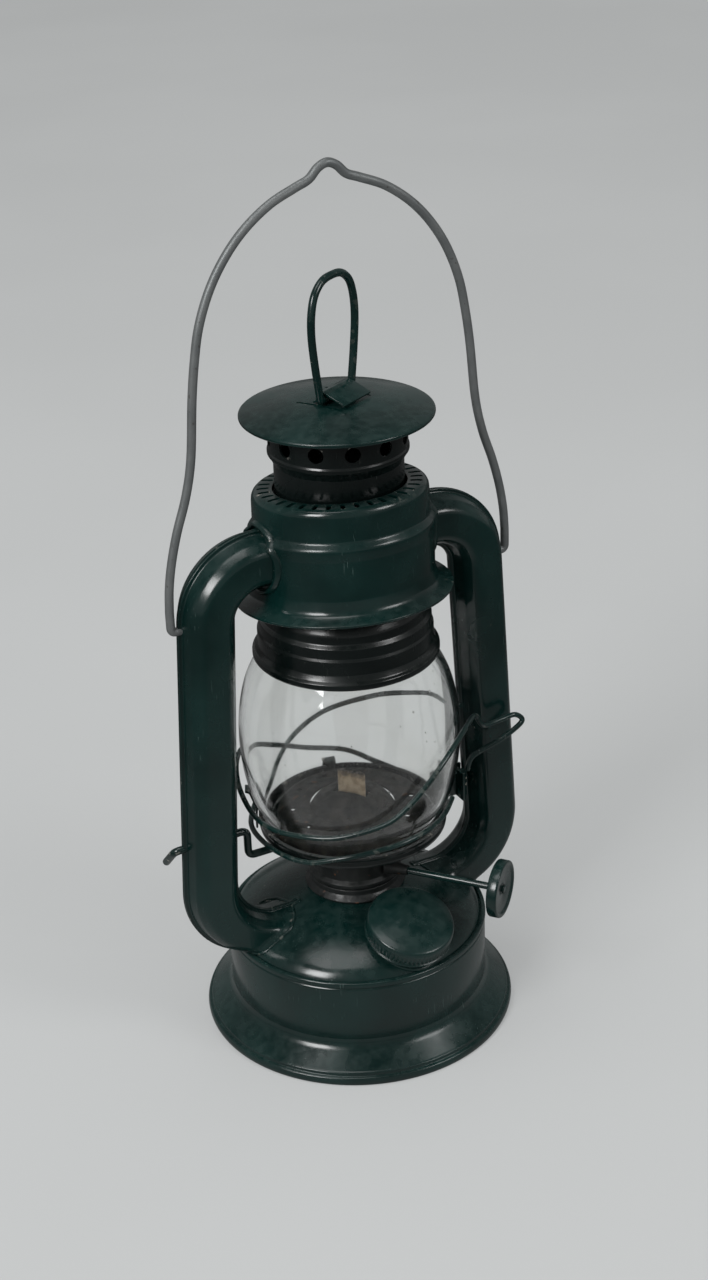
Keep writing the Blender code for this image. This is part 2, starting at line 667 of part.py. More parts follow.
def burner_collar(paints):
    low = COLLAR_BOTTOM
    outline = [(COLLAR_RADIUS, low + COLLAR_HEIGHT), (COLLAR_RADIUS, low + COLLAR_WAIST_SHARE * COLLAR_HEIGHT),
               (COLLAR_BASE_RADIUS, low)]
    inner = [(MOUTH_RADIUS, low), (MOUTH_RADIUS, low + COLLAR_HEIGHT)]
    return lathe("burner_collar", outline + inner, paints["soot"], SMALL_STEPS)


def wick_cutter(name, wide, deep, low, high, off=0.0):
    place = Matrix.Rotation(WICK_TURN, 4, "Z") @ Matrix.Translation((0, off, (low + high) / 2))
    return cutter(name, box_mesh(name, (wide, deep, high - low)), place)


def tube_outer_size():
    wide = WICK_WIDTH + 2 * GAP + 2 * WICK_TUBE_WALL
    deep = WICK_THICKNESS + 2 * GAP + 2 * WICK_TUBE_WALL
    return wide, deep


def burner_body(paints):
    low = BURNER_BOTTOM
    high = low + BURNER_HEIGHT
    inner = BURNER_RADIUS - SHEET
    outline = [(inner, high), (BURNER_RADIUS, high), (BURNER_RADIUS, low + BURNER_GRIP_HEIGHT + BURNER_GRIP_SLOPE),
               (BURNER_GRIP_RADIUS, low + BURNER_GRIP_HEIGHT), (BURNER_GRIP_RADIUS, low), (0.0, low)]
    outline = [(0.0, low + SHEET), (inner, low + SHEET)] + outline
    body = lathe("burner_body", outline, paints["soot"], SMALL_STEPS)
    wide, deep = tube_outer_size()
    cut(body, wick_cutter("wick_slot_in_floor", wide + 2 * GAP, deep + 2 * GAP, low - OVERRUN, low + OVERRUN))
    hole = cylinder_mesh("shaft hole", SHAFT_RADIUS + RUNNING, BURNER_RADIUS, SHAFT_STEPS)
    cut(body, cutter("shaft_hole", hole, shaft_frame() @ Matrix.Translation((0, 0, BURNER_RADIUS))))
    return body


def burner_cone(paints):
    low = CONE_BOTTOM
    bend = low + CONE_SKIRT
    outline = [(share * CONE_RADIUS, bend + high * CONE_RISE) for share, high in CONE_SHARES]
    outline.append((CONE_RADIUS, low))
    cone = lathe("burner_cone", sheet_outline(outline, SHEET), paints["soot"], SMALL_STEPS)
    wide, deep = tube_outer_size()
    cut(cone, wick_cutter("wick_slot_in_cone", wide + 2 * GAP, deep + 2 * GAP, bend, CONE_TOP + OVERRUN))
    return cone


def wick_tube(paints, frame):
    wide, deep = tube_outer_size()
    rings = []
    low = WICK_TUBE_BOTTOM
    high = CONE_TOP - WICK_TUBE_SETBACK
    for inset, height in ((0.0, low), (0.0, high), (WICK_TUBE_WALL, high), (WICK_TUBE_WALL, low)):
        half_w, half_d = wide / 2 - inset, deep / 2 - inset
        rings.append([(half_w, half_d, height), (-half_w, half_d, height), (-half_w, -half_d, height),
                      (half_w, -half_d, height)])
    tube = loft("wick_tube", rings, paints["tin"], closed=True, parent=frame)
    window = SPROCKET_SPACING + 2 * SPROCKET_THICKNESS
    tall = 2 * math.sqrt(sprocket_radius() ** 2 - (SHAFT_OFFSET - deep / 2) ** 2) + 4 * GAP
    cut(tube, wick_cutter("sprocket_window", window, deep, SHAFT_HEIGHT - tall / 2, SHAFT_HEIGHT + tall / 2,
                          -deep / 2 - WICK_THICKNESS / 2 + WICK_TUBE_WALL / 2))
    return tube


def wick(paints, frame):
    half_w, half_t = WICK_WIDTH / 2, WICK_THICKNESS / 2
    outline = [(half_w, half_t), (-half_w, half_t), (-half_w, -half_t), (half_w, -half_t)]
    return extrude_outline("wick", outline, WICK_BOTTOM, WICK_TOP, paints["cotton"], frame)


def sprocket_radius():
    return SHAFT_OFFSET - WICK_THICKNESS / 2 - GAP


def shaft_frame():
    """The wick raiser's axis: its Z runs out along the shaft to the knob."""
    return (Matrix.Rotation(WICK_TURN, 4, "Z") @ Matrix.Translation((0, -SHAFT_OFFSET, SHAFT_HEIGHT))
            @ Matrix.Rotation(math.pi / 2, 4, "Y"))


def wick_shaft(paints, frame):
    end = KNOB_FACE - KNOB_DISH
    outline = [(0.0, end), (SHAFT_RADIUS, end), (SHAFT_RADIUS, -SHAFT_INNER), (0.0, -SHAFT_INNER)]
    return lathe("wick_shaft", outline, paints["black"], SHAFT_STEPS, frame)


def wick_sprocket(name, middle, paint, frame):
    """A toothed wheel that bites the wick: a ring with a bore for the shaft."""
    tip = sprocket_radius()
    root = tip * SPROCKET_ROOT_SHARE
    bore = SHAFT_RADIUS + GAP
    count = 2 * SPROCKET_TEETH
    rings = []
    for inside, side in ((False, -1), (False, 1), (True, 1), (True, -1)):
        ring = []
        for index in range(count):
            angle = math.tau * index / count
            reach = bore if inside else (tip if index % 2 == 0 else root)
            ring.append((reach * math.cos(angle), reach * math.sin(angle), middle + side * SPROCKET_THICKNESS / 2))
        rings.append(ring)
    return loft(name, rings, paint, closed=True, parent=frame)


def wick_knob(paints, frame):
    """A pressed cup with a dished face and a hub on the shaft."""
    face = KNOB_FACE
    back = face - KNOB_DEPTH
    bore = SHAFT_RADIUS + GAP
    edge = KNOB_RADIUS
    dish, brim = KNOB_DISH_SHARES
    floor = face - KNOB_DISH
    outline = [
        (bore, floor), (dish * edge, floor), (brim * edge, face), (edge - KNOB_SHEET / 2, face),
        (edge, face - KNOB_SHEET / 2), (edge, back), (edge - KNOB_SHEET, back), (edge - KNOB_SHEET, floor - KNOB_SHEET),
        (KNOB_HUB_RADIUS, floor - KNOB_SHEET), (KNOB_HUB_RADIUS, back), (bore, back)]
    return lathe("wick_knob", outline, paints["enamel"], SMALL_STEPS, frame)


def shaft_bushing(paints, frame):
    reach = math.sqrt(BURNER_RADIUS ** 2 - (SHAFT_OFFSET - BUSHING_RADIUS) ** 2) + GAP
    bore = SHAFT_RADIUS + RUNNING
    outline = [(bore, reach + BUSHING_LENGTH), (BUSHING_RADIUS, reach + BUSHING_LENGTH), (BUSHING_RADIUS, reach),
               (bore, reach)]
    return lathe("shaft_bushing", outline, paints["soot"], SHAFT_STEPS, frame)


# Air tubes

def canopy_outline():
    flare = CANOPY_SKIRT_RADIUS - CANOPY_BODY_RADIUS
    fall = CANOPY_FLARE_HEIGHT - CANOPY_SKIRT_HEIGHT
    outline = [
        (CHIMNEY_RADIUS + 2 * GAP, CANOPY_TOP), (CANOPY_SHOULDER_SHARE * CANOPY_TOP_RADIUS, CANOPY_TOP - SHEET / 2),
        (CANOPY_TOP_RADIUS, CANOPY_TOP - 3 * SHEET),
        (CANOPY_TOP_RADIUS, CANOPY_BEAD_HEIGHT + 2 * CANOPY_BEAD_HALF),
        (CANOPY_BEAD_RADIUS, CANOPY_BEAD_HEIGHT), (CANOPY_BODY_RADIUS, CANOPY_BEAD_HEIGHT - CANOPY_BEAD_HALF)]
    return outline + [(CANOPY_BODY_RADIUS + share * flare, CANOPY_FLARE_HEIGHT - down * fall)
                      for share, down in CANOPY_FLARE_SHARES]


def radius_at(outline, height):
    """Radius of an outline that runs downwards, at one height."""
    for (r1, z1), (r2, z2) in zip(outline, outline[1:]):
        if z2 <= height <= z1:
            return r1 + (r2 - r1) * (z1 - height) / max(z1 - z2, SHEET / 1000)
    return outline[-1][0]


def canopy_surface_x(y, z, clear):
    """How far out a point beside the canopy has to be to clear its wall, bead included."""
    outline = canopy_outline()[2:]
    reach = max(radius_at(outline, z + shift) for shift in (-2 * SHEET, 0.0, 2 * SHEET)) + clear
    return math.sqrt(reach ** 2 - y ** 2)


def tube_half_section(scale=1.0):
    """Half of the pressed tube's section as pairs: across the tube, and out from the seam."""
    seam = TUBE_SEAM / 2
    body = TUBE_HALF_BODY * scale
    edge = body + TUBE_FLANGE * (scale - TUBE_END_SHARE) / (1 - TUBE_END_SHARE) + SHEET / 4
    deep = TUBE_DEPTH
    outer = [(edge, seam + SHEET), (body, seam + SHEET)]
    outer += [(across * body, out * deep) for across, out in TUBE_SECTION_SHARES]
    inner = [(edge, seam), (body - SHEET, seam)]
    inner += [(across * (body - SHEET), out * (deep - SHEET)) for across, out in TUBE_SECTION_SHARES]
    outer += [(-across, out) for across, out in outer[::-1]]
    inner += [(-across, out) for across, out in inner[::-1]]
    return outer, inner


def tube_stations():
    """Centre, direction of the outer side and scale at each station, from the canopy down to the fount."""
    drop = TUBE_TOP_HEIGHT - TUBE_TOP_BEND - TUBE_LOW_HEIGHT - TUBE_LOW_BEND
    lean = math.atan2(TUBE_LOW_X - TUBE_TOP_X, drop)
    stations = [(Vector((CHIMNEY_NECK_RADIUS, TUBE_TOP_HEIGHT)), Vector((0.0, 1.0)), 1.0)]
    centre = Vector((TUBE_TOP_X - TUBE_TOP_BEND, TUBE_TOP_HEIGHT - TUBE_TOP_BEND))
    for step in range(TUBE_BEND_STEPS + 1):
        angle = math.pi / 2 + (lean - math.pi / 2) * step / TUBE_BEND_STEPS
        spoke = Vector((math.cos(angle), math.sin(angle)))
        stations.append((centre + spoke * TUBE_TOP_BEND, spoke, 1.0))
    centre = Vector((TUBE_LOW_X - TUBE_LOW_BEND, TUBE_LOW_HEIGHT + TUBE_LOW_BEND))
    for step in range(TUBE_BEND_STEPS + 1):
        angle = lean - (lean + math.pi / 2) * step / TUBE_BEND_STEPS
        spoke = Vector((math.cos(angle), math.sin(angle)))
        scale = 1.0 + (TUBE_END_SHARE - 1.0) * (step / TUBE_BEND_STEPS) ** 2
        stations.append((centre + spoke * TUBE_LOW_BEND, spoke, scale))
    stations.append((Vector((CHIMNEY_NECK_RADIUS, TUBE_LOW_HEIGHT)), Vector((0.0, -1.0)), TUBE_END_SHARE))
    return stations


def tube_half(name, side, face, paint):
    """One pressed half of an air tube: side is -1 or 1 along X, face is -1 or 1 along Y."""
    rings = []
    for centre, spoke, scale in tube_stations():
        outer, inner = tube_half_section(scale)
        ring = []
        for across, out in outer + inner[::-1]:
            place = centre + spoke * across
            ring.append((side * place.x, face * out, place.y))
        rings.append(ring)
    return loft(name, rings, paint, closed=False)


def envelope(name, outline):
    """A solid turned shape, a gap larger than a shell, that trims the tube ends to that shell."""
    grown = offset_outline(outline, -GAP)
    section = [(0.0, grown[0][1])] + grown + [(0.0, grown[-1][1])]
    made = lathe(name, section, None)
    made.hide_render = True
    made.display_type = "WIRE"
    return made


def tube_port(name, side, low):
    """Cutter for the hole that joins a tube to the dome or to the canopy."""
    section = tube_half_section(TUBE_END_SHARE if low else 1.0)[1]
    middle = TUBE_LOW_HEIGHT if low else TUBE_TOP_HEIGHT
    half = [(PORT_SHARE * across, PORT_SHARE * out) for across, out in section[1:-1]]
    start = COLLAR_BASE_RADIUS if low else CHIMNEY_NECK_RADIUS
    end = WALL_RADIUS + OVERRUN
    bm = bmesh.new()
    loops = []
    for reach in (start, end):
        points = [(across, out) for across, out in half] + [(across, -out) for across, out in half[::-1]]
        loops.append([bm.verts.new((side * reach, out, middle + across)) for across, out in points])
    for index in range(len(loops[0])):
        after = (index + 1) % len(loops[0])
        bm.faces.new((loops[0][index], loops[0][after], loops[1][after], loops[1][index]))
    bm.faces.new(loops[0])
    bm.faces.new(loops[1])
    label = name + ("_left" if side < 0 else "_right")
    return cutter(label, mesh_from(label, bm), Matrix.Identity(4))


def air_tubes(paints):
    lever_bore = cylinder_mesh("lever bore", LEVER_WIRE / 2 + RUNNING, 4 * TUBE_FLANGE_EDGE, SHAFT_STEPS)
    bail_bore = cylinder_mesh("bail bore", BAIL_WIRE / 2 + RUNNING, TUBE_FLANGE_EDGE, SHAFT_STEPS)
    along = Matrix.Rotation(math.pi / 2, 4, "Y")
    trims = (envelope("canopy_trim", canopy_outline()), envelope("fount_trim", fount_outline()))
    lever_hole = cutter("lever_hole", lever_bore, Matrix.Translation((-TUBE_LOW_X, 0, LEVER_HEIGHT)) @ along)
    for side, label in ((-1, "left"), (1, "right")):
        place = Matrix.Translation((side * (TUBE_TOP_X + TUBE_FLANGE_EDGE), 0, BAIL_PIVOT_HEIGHT)) @ along
        bail_hole = cutter("bail_hole_" + label, bail_bore, place)
        for face, half in ((-1, "front"), (1, "back")):
            piece = tube_half("tube_" + label + "_" + half, side, face, paints["enamel"])
            for trim in trims:
                cut(piece, trim)
            cut(piece, bail_hole)
            if side < 0:
                cut(piece, lever_hole)


def tube_collar(name, side, paint):
    """The swaged ring that seats a tube on the canopy, shaped to the canopy's wall."""
    rings = []
    section = ((TUBE_COLLAR_RADIUS, 0.0), (TUBE_COLLAR_TIP, TUBE_COLLAR_DEPTH),
               (TUBE_COLLAR_BORE, TUBE_COLLAR_DEPTH), (TUBE_COLLAR_BORE, 0.0))
    for radius, out in section:
        ring = []
        for index in range(SMALL_STEPS):
            angle = math.tau * index / SMALL_STEPS
            y, z = radius * math.cos(angle), TUBE_TOP_HEIGHT + radius * math.sin(angle)
            ring.append((side * (canopy_surface_x(y, z, GAP) + out), y, z))
        rings.append(ring)
    return loft(name, rings, paint, closed=True)


# Canopy and chimney

def canopy(paints):
    shell = lathe("canopy", sheet_outline(canopy_outline(), SHEET), paints["enamel"])
    for side in (-1, 1):
        cut(shell, tube_port("canopy_port", side, low=False))
    slot = box_mesh("slot", (SLOT_LENGTH, SLOT_WIDTH, OVERRUN))
    reach = SLOT_INNER_RADIUS + SLOT_LENGTH / 2

    def place(angle):
        turn = angle + math.pi / ROUND_STEPS
        return Matrix.Rotation(turn, 4, "Z") @ Matrix.Translation((reach, 0, CANOPY_TOP))
    cut(shell, joined_cutter("canopy_slots", ring_of(slot, SLOT_COUNT, place)))
    return shell


def chimney_guide(paints):
    """The sleeve under the canopy's top that guides the chimney."""
    top = CANOPY_TOP - 2 * SHEET
    bore = CHIMNEY_RADIUS + GAP
    outline = [(bore, top), (bore + SHEET, top), (bore + SHEET, top - GUIDE_SLEEVE_LENGTH),
               (bore, top - GUIDE_SLEEVE_LENGTH)]
    return lathe("chimney_guide", outline, paints["black"])


def chimney_tube(paints, body):
    outline = [(CHIMNEY_NECK_RADIUS, CHIMNEY_TOP), (CHIMNEY_NECK_RADIUS, CHIMNEY_STEP_HEIGHT + CHIMNEY_STEP),
               (CHIMNEY_RADIUS, CHIMNEY_STEP_HEIGHT), (CHIMNEY_RADIUS, BELL_BOTTOM + BELL_HEIGHT)]
    tube = lathe("chimney_tube", sheet_outline(outline, SHEET), paints["black"])
    hole = cylinder_mesh("exhaust hole", CHIMNEY_HOLE_RADIUS, OVERRUN, CHIMNEY_HOLE_STEPS)

    def place(angle):
        turn = Matrix.Rotation(angle + math.pi / CHIMNEY_HOLES, 4, "Z")
        out = Matrix.Translation((CHIMNEY_NECK_RADIUS, 0, CHIMNEY_HOLE_HEIGHT))
        return turn @ out @ Matrix.Rotation(math.pi / 2, 4, "Y")
    cut(tube, joined_cutter("exhaust_holes", ring_of(hole, CHIMNEY_HOLES, place)))
    tube.parent = body
    return tube


def cap_height(radius):
    """Height of the cap's upper face at a distance from the axis."""
    share = radius / CAP_RADIUS
    return CAP_RIM_HEIGHT + CAP_RISE * (1 - share ** 2)


def chimney_cap(paints, body):
    outline = [(0.0, cap_height(0.0))]
    for step in range(1, CAP_STEPS + 1):
        radius = (CAP_RADIUS - CAP_RIM_ROLL) * step / CAP_STEPS
        outline.append((radius, cap_height(radius)))
    outline.append((CAP_RADIUS, CAP_RIM_HEIGHT - CAP_RIM_ROLL))
    outline.append((CAP_RADIUS - CAP_RIM_ROLL / 3, CAP_RIM_HEIGHT - 2 * CAP_RIM_ROLL))
    return lathe("chimney_cap", sheet_outline(outline, SHEET), paints["enamel"], parent=body)


def cap_bridge(paints, frame):
    """The strap over the foot of the lift ring, standing on the cap on two feet."""
    half = BRIDGE_WIDTH / 2
    foot = cap_height(half + BRIDGE_FOOT / 2) - RING_SEAT + GAP + SHEET / 2
    span = LIFT_RING_WIRE / 2 + RUNNING
    outer = [(-half, foot), (-half + BRIDGE_FOOT, foot), (-span - SHEET, span), (-span, span + SHEET),
             (span, span + SHEET), (span + SHEET, span), (half - BRIDGE_FOOT, foot), (half, foot)]
    outline = outer + [(x, z - SHEET) for x, z in outer[::-1]]
    bm = bmesh.new()
    loops = []
    for x in (-BRIDGE_LENGTH / 2, BRIDGE_LENGTH / 2):
        loops.append([bm.verts.new((x, y, z + SHEET)) for y, z in outline])
    size = len(outline)
    for index in range(size):
        after = (index + 1) % size
        bm.faces.new((loops[0][index], loops[0][after], loops[1][after], loops[1][index]))
    for loop in loops:
        for index in range(size // 2 - 1):
            bm.faces.new((loop[index], loop[index + 1], loop[size - 2 - index], loop[size - 1 - index]))
    return finish_mesh("cap_bridge", mesh_from("cap_bridge", bm), paints["enamel"], frame)


def lift_ring(paints, frame):
    half = [(share * LIFT_RING_HALF_WIDTH, 0.0, high * LIFT_RING_HEIGHT) for share, high in LIFT_RING_SHARES]
    corner = (LIFT_RING_FOOT, 0.0, 0.0)
    arch = smooth_path([corner] + half + [(-x, y, z) for x, y, z in half[-2::-1]] + [(-LIFT_RING_FOOT, 0.0, 0.0)], 2)
    points = [(LIFT_RING_FOOT / 2, 0.0, 0.0)] + arch + [(-LIFT_RING_FOOT / 2, 0.0, 0.0)]
    return wire("lift_ring", points, LIFT_RING_WIRE, paints["enamel"], cyclic=True, parent=frame)


def bell_outline():
    collar = CHIMNEY_RADIUS + GAP + SHEET
    top = BELL_BOTTOM + BELL_HEIGHT
    outline = [(collar, top + BELL_COLLAR_HEIGHT), (collar, top + SHEET / 2)]
    outline += [(BELL_BODY_RADIUS - share * (BELL_BODY_RADIUS - collar), BELL_BOTTOM + high * BELL_HEIGHT)
                for share, high in BELL_TOP_SHARES]
    outline += [(BELL_BODY_RADIUS + share * (BELL_RADIUS - BELL_BODY_RADIUS), BELL_BOTTOM + high * BELL_HEIGHT)
                for share, high in BELL_RING_SHARES]
    return outline


def bell(paints, body):
    return lathe("bell", sheet_outline(bell_outline(), SHEET), paints["black"], parent=body)


def bell_seat(paints, body):
    """The flat ring inside the bell that bears on the globe's upper rim."""
    low = GLASS_TOP + GAP
    edge = radius_at(bell_outline(), low) - SHEET - GAP - SHEET
    outline = [(SEAT_INNER_RADIUS, low + SHEET), (edge, low + SHEET), (edge, low), (SEAT_INNER_RADIUS, low)]
    return lathe("bell_seat", outline, paints["soot"], parent=body)


# Globe, its plate and its wires

def glass_outline():
    return [(share * GLASS_RADIUS, GLASS_BOTTOM + high * GLASS_HEIGHT) for share, high in GLASS_SHARES]


def globe_glass(paints, body):
    return lathe("globe_glass", sheet_outline(glass_outline(), GLASS_WALL), paints["glass"], parent=body)


def globe_plate(paints, body):
    """A shallow dish with a raised, pierced disc round the burner's cone and a beaded wall at its rim."""
    low = PLATE_BOTTOM
    rise = PLATE_DISC_RISE
    wall = low + PLATE_WALL_HEIGHT
    bead = PLATE_RADIUS - SHEET / 2
    step = [(share * PLATE_DISC_RADIUS, low + high * rise) for share, high in PLATE_DISC_SHARES]
    upper = [(PLATE_HOLE_RADIUS, low + rise + SHEET)] + step + [
        (PLATE_DISC_RADIUS, low + SHEET), (bead - SHEET, low + SHEET), (bead - SHEET, wall)]
    lower = [(PLATE_RADIUS, wall), (bead, low + PLATE_BEAD_SHARE * PLATE_WALL_HEIGHT), (bead, low + SHEET),
             (bead - SHEET, low), (PLATE_DISC_RADIUS - SHEET, low)]
    lower += [(radius - SHEET, height - SHEET) for radius, height in step[::-1]] + [(PLATE_HOLE_RADIUS, low + rise)]
    plate = lathe("globe_plate", upper + lower, paints["enamel"], parent=body)
    hole = cylinder_mesh("plate hole", PLATE_AIR_HOLE_RADIUS, OVERRUN, PLATE_AIR_HOLE_STEPS)
    reach = (PLATE_HOLE_RADIUS + PLATE_DISC_RADIUS) / 2

    def place(angle):
        turn = angle + math.pi / ROUND_STEPS
        return Matrix.Rotation(turn, 4, "Z") @ Matrix.Translation((reach, 0, low + rise))
    cut(plate, joined_cutter("plate_air_holes", ring_of(hole, PLATE_HOLES, place)))
    return plate


def globe_prong(name, turn, paint, body):
    """One of the spring clips round the plate's rim that hold the foot of the globe."""
    low = PLATE_BOTTOM
    stations = [(PLATE_RADIUS + GAP, low), (PLATE_RADIUS + GAP, low + PLATE_WALL_HEIGHT + GAP)]
    for share in PRONG_STATION_SHARES:
        height = low + share * PRONG_HEIGHT
        stations.append((max(radius_at(glass_outline(), height), PLATE_RADIUS - SHEET) + PRONG_STANDOFF, height))
    stations.append((stations[-1][0] + PRONG_LIP, low + PRONG_HEIGHT + GAP))
    half = PRONG_WIDTH / 2
    spin = Matrix.Rotation(turn, 3, "Z")
    rings = []
    for (r1, z1), (r2, z2) in zip(stations, offset_outline(stations, SHEET)):
        corners = ((r1, -half, z1), (r1, half, z1), (r2, half, z2), (r2, -half, z2))
        rings.append([spin @ Vector(place) for place in corners])
    return loft(name, rings, paint, closed=False, parent=body)


def guide_strap(paints, body):
    """Sheet arm from the plate's rim to a fork that runs on the right tube's inner seam."""
    t = STRAP_SHEET
    start = PLATE_RADIUS + GAP
    end = STRAP_ARM_END
    wide = STRAP_HALF_WIDTH
    slot = STRAP_SLOT_HALF
    half = [(start, t / 2), (end, t / 2), (end, wide), (end + t, wide), (end + t, slot + t),
            (end + t + STRAP_FINGER, slot + t), (end + t + STRAP_FINGER, slot), (end + t, slot)]
    outline = [(x, -y) for x, y in half] + half[::-1]
    return extrude_outline("guide_strap", outline, STRAP_BOTTOM, STRAP_BOTTOM + STRAP_HEIGHT, paints["enamel"], body)


def guard_place(turn, share, layer):
    """A point on the guard: degrees round the globe, share of the globe's height, and wire layer."""
    height = GLASS_BOTTOM + share * GLASS_HEIGHT
    reach = max(radius_at(glass_outline(), height), PLATE_RADIUS) + GAP + GUARD_WIRE / 2 + layer * GUARD_LAYER
    angle = math.radians(turn)
    return (reach * math.cos(angle), reach * math.sin(angle), height)


def finger_loop():
    """The bend in the front wire that reaches past the right tube as a finger hold."""
    reach = FINGER_LOOP_TIP - FINGER_LOOP_ROOT
    return [(FINGER_LOOP_ROOT + out * reach, side * FINGER_LOOP_Y, FINGER_LOOP_HEIGHT + high * FINGER_LOOP_HALF)
            for out, side, high in FINGER_LOOP_SHARES]


def guard_wires(paints, body):
    front = [guard_place(*row) for row in FRONT_GUARD] + finger_loop()
    back = [guard_place(*row) for row in BACK_GUARD]
    wire("guard_wire_front", smooth_path(front, 2), GUARD_WIRE, paints["enamel"], parent=body)
    wire("guard_wire_back", smooth_path(back, 2), GUARD_WIRE, paints["enamel"], parent=body)


def lift_lever(paints, frame):
    arm = LEVER_ARM * math.sqrt(0.5)
    points = [(-LEVER_OUTER, arm, -arm), (-LEVER_OUTER, 0.0, 0.0), (-LEVER_INNER, 0.0, 0.0),
              (-LEVER_INNER, 0.0, -LEVER_THROW), (-LEVER_PIN_END, 0.0, -LEVER_THROW)]
    return wire("lift_lever", rounded_path(points, LEVER_BEND), LEVER_WIRE, paints["enamel"], parent=frame)


def bail(paints, frame):
    """The carrying wire: hooked ends through the seams of the tubes, and a finger notch at the top."""
    outer = [(share * BAIL_HALF_WIDTH, 0.0, high * BAIL_HEIGHT) for share, high in BAIL_SHARES]
    seam = TUBE_TOP_X + TUBE_FLANGE_EDGE
    hook = rounded_path([(seam - BAIL_HOOK, 0.0, 0.0), (BAIL_HALF_WIDTH, 0.0, 0.0),
                         (BAIL_HALF_WIDTH, 0.0, 2 * BAIL_ELBOW)], BAIL_ELBOW, 3)
    right = [tuple(point) for point in hook] + outer
    points = right + [(-x, y, z) for x, y, z in right[-2::-1]]
    return wire("bail", points, BAIL_WIRE, paints["zinc"], parent=frame)


def build():
    clear_scene()
    paints = make_materials()

    foot_ring(paints)
    fount_shell(paints)
    fount_bottom(paints)
    fount_divider(paints)
    burner_collar(paints)
    burner_body(paints)
    burner_cone(paints)
    air_tubes(paints)
    tube_collar("tube_collar_left", -1, paints["enamel"])
    tube_collar("tube_collar_right", 1, paints["enamel"])
    canopy(paints)
    chimney_guide(paints)

    filler = pivot("filler_axis", (0, 0, 0))
    filler.matrix_world = filler_frame()
    filler_neck(paints, filler)
    filler_gasket(paints, filler)
    filler_cap(paints, filler)

    wick_frame = pivot("wick_axis", (0, 0, 0), (0, 0, WICK_TURN))
    wick_tube(paints, wick_frame)
    wick(paints, wick_frame)
    raiser = pivot("raiser_axis", (0, 0, 0))
    raiser.matrix_world = shaft_frame()
    wick_shaft(paints, raiser)
    wick_sprocket("wick_sprocket_inner", -SPROCKET_SPACING / 2, paints["tin"], raiser)
    wick_sprocket("wick_sprocket_outer", SPROCKET_SPACING / 2, paints["tin"], raiser)
    wick_knob(paints, raiser)
    shaft_bushing(paints, raiser)

    carrier = pivot("globe_carrier", (0, 0, 0))
    globe_plate(paints, carrier)
    for name, turn in PRONG_TURNS.items():
        globe_prong("globe_prong_" + name, turn, paints["enamel"], carrier)
    guide_strap(paints, carrier)
    guard_wires(paints, carrier)
    globe_glass(paints, carrier)

    lift_lever(paints, pivot("lever_axis", (0, 0, LEVER_HEIGHT)))

    chimney = pivot("chimney", (0, 0, 0), parent=carrier)
    chimney_tube(paints, chimney)
    chimney_cap(paints, chimney)
    bell(paints, chimney)
    bell_seat(paints, chimney)
    ring_axis = pivot("ring_axis", (0, 0, RING_SEAT), (0, 0, LIFT_RING_TURN), chimney)
    cap_bridge(paints, ring_axis)
    lift_ring(paints, ring_axis)

    bail(paints, pivot("bail_axis", (0, 0, BAIL_PIVOT_HEIGHT)))


build()
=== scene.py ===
# %% [markdown]
# A small kerosene lantern, finished for its picture.
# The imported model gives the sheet-metal frame: every piece's place, size and the body it moves with.
# This script dresses it. It turns and bends finer pieces in the same places, paints them with
# procedural materials, and sets the floor, the two windows' light and the camera.

# %% Load the fixed frame
import json
import math
import random

import bmesh
import bpy
from mathutils import Matrix, Vector

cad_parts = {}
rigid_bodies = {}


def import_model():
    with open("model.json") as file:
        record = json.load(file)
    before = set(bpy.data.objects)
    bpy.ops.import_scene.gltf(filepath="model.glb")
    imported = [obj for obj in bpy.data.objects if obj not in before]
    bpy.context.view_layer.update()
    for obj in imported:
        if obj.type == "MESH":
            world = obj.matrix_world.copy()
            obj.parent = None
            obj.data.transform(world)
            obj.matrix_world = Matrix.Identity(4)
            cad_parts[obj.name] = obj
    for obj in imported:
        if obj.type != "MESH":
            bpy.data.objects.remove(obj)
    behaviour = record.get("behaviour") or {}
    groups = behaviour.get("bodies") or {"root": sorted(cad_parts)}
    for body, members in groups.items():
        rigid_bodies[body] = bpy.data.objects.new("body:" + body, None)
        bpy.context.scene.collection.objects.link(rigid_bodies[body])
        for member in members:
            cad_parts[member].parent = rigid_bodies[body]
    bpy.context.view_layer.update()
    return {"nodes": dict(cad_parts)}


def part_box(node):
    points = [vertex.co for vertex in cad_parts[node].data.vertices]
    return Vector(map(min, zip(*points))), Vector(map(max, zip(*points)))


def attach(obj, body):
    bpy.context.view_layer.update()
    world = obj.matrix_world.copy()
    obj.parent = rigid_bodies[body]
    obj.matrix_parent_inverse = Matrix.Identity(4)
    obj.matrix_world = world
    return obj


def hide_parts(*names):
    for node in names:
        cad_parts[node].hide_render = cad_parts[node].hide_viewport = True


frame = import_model()

# %% [markdown]
# The photograph was taken from the front left, looking down at about 27 degrees.
# A camera can be placed by eye, but here it was worked out from known points on the foot,
# the tubes and the bail, so it is written as a place and a direction. The sensor is fitted to
# the picture's height, which keeps the framing whatever the width of the render.

# %% Camera
CAMERA_PLACE = Vector((-0.22882, -0.45895, 0.37357))
CAMERA_TURN = math.radians(26.748)      # from straight ahead towards the right
CAMERA_TILT = math.radians(26.555)      # down from level
CAMERA_ROLL = math.radians(-2.184)
PICTURE_HEIGHT = 1280
FOCAL_PIXELS = 2088.13
SENSOR = 36.0


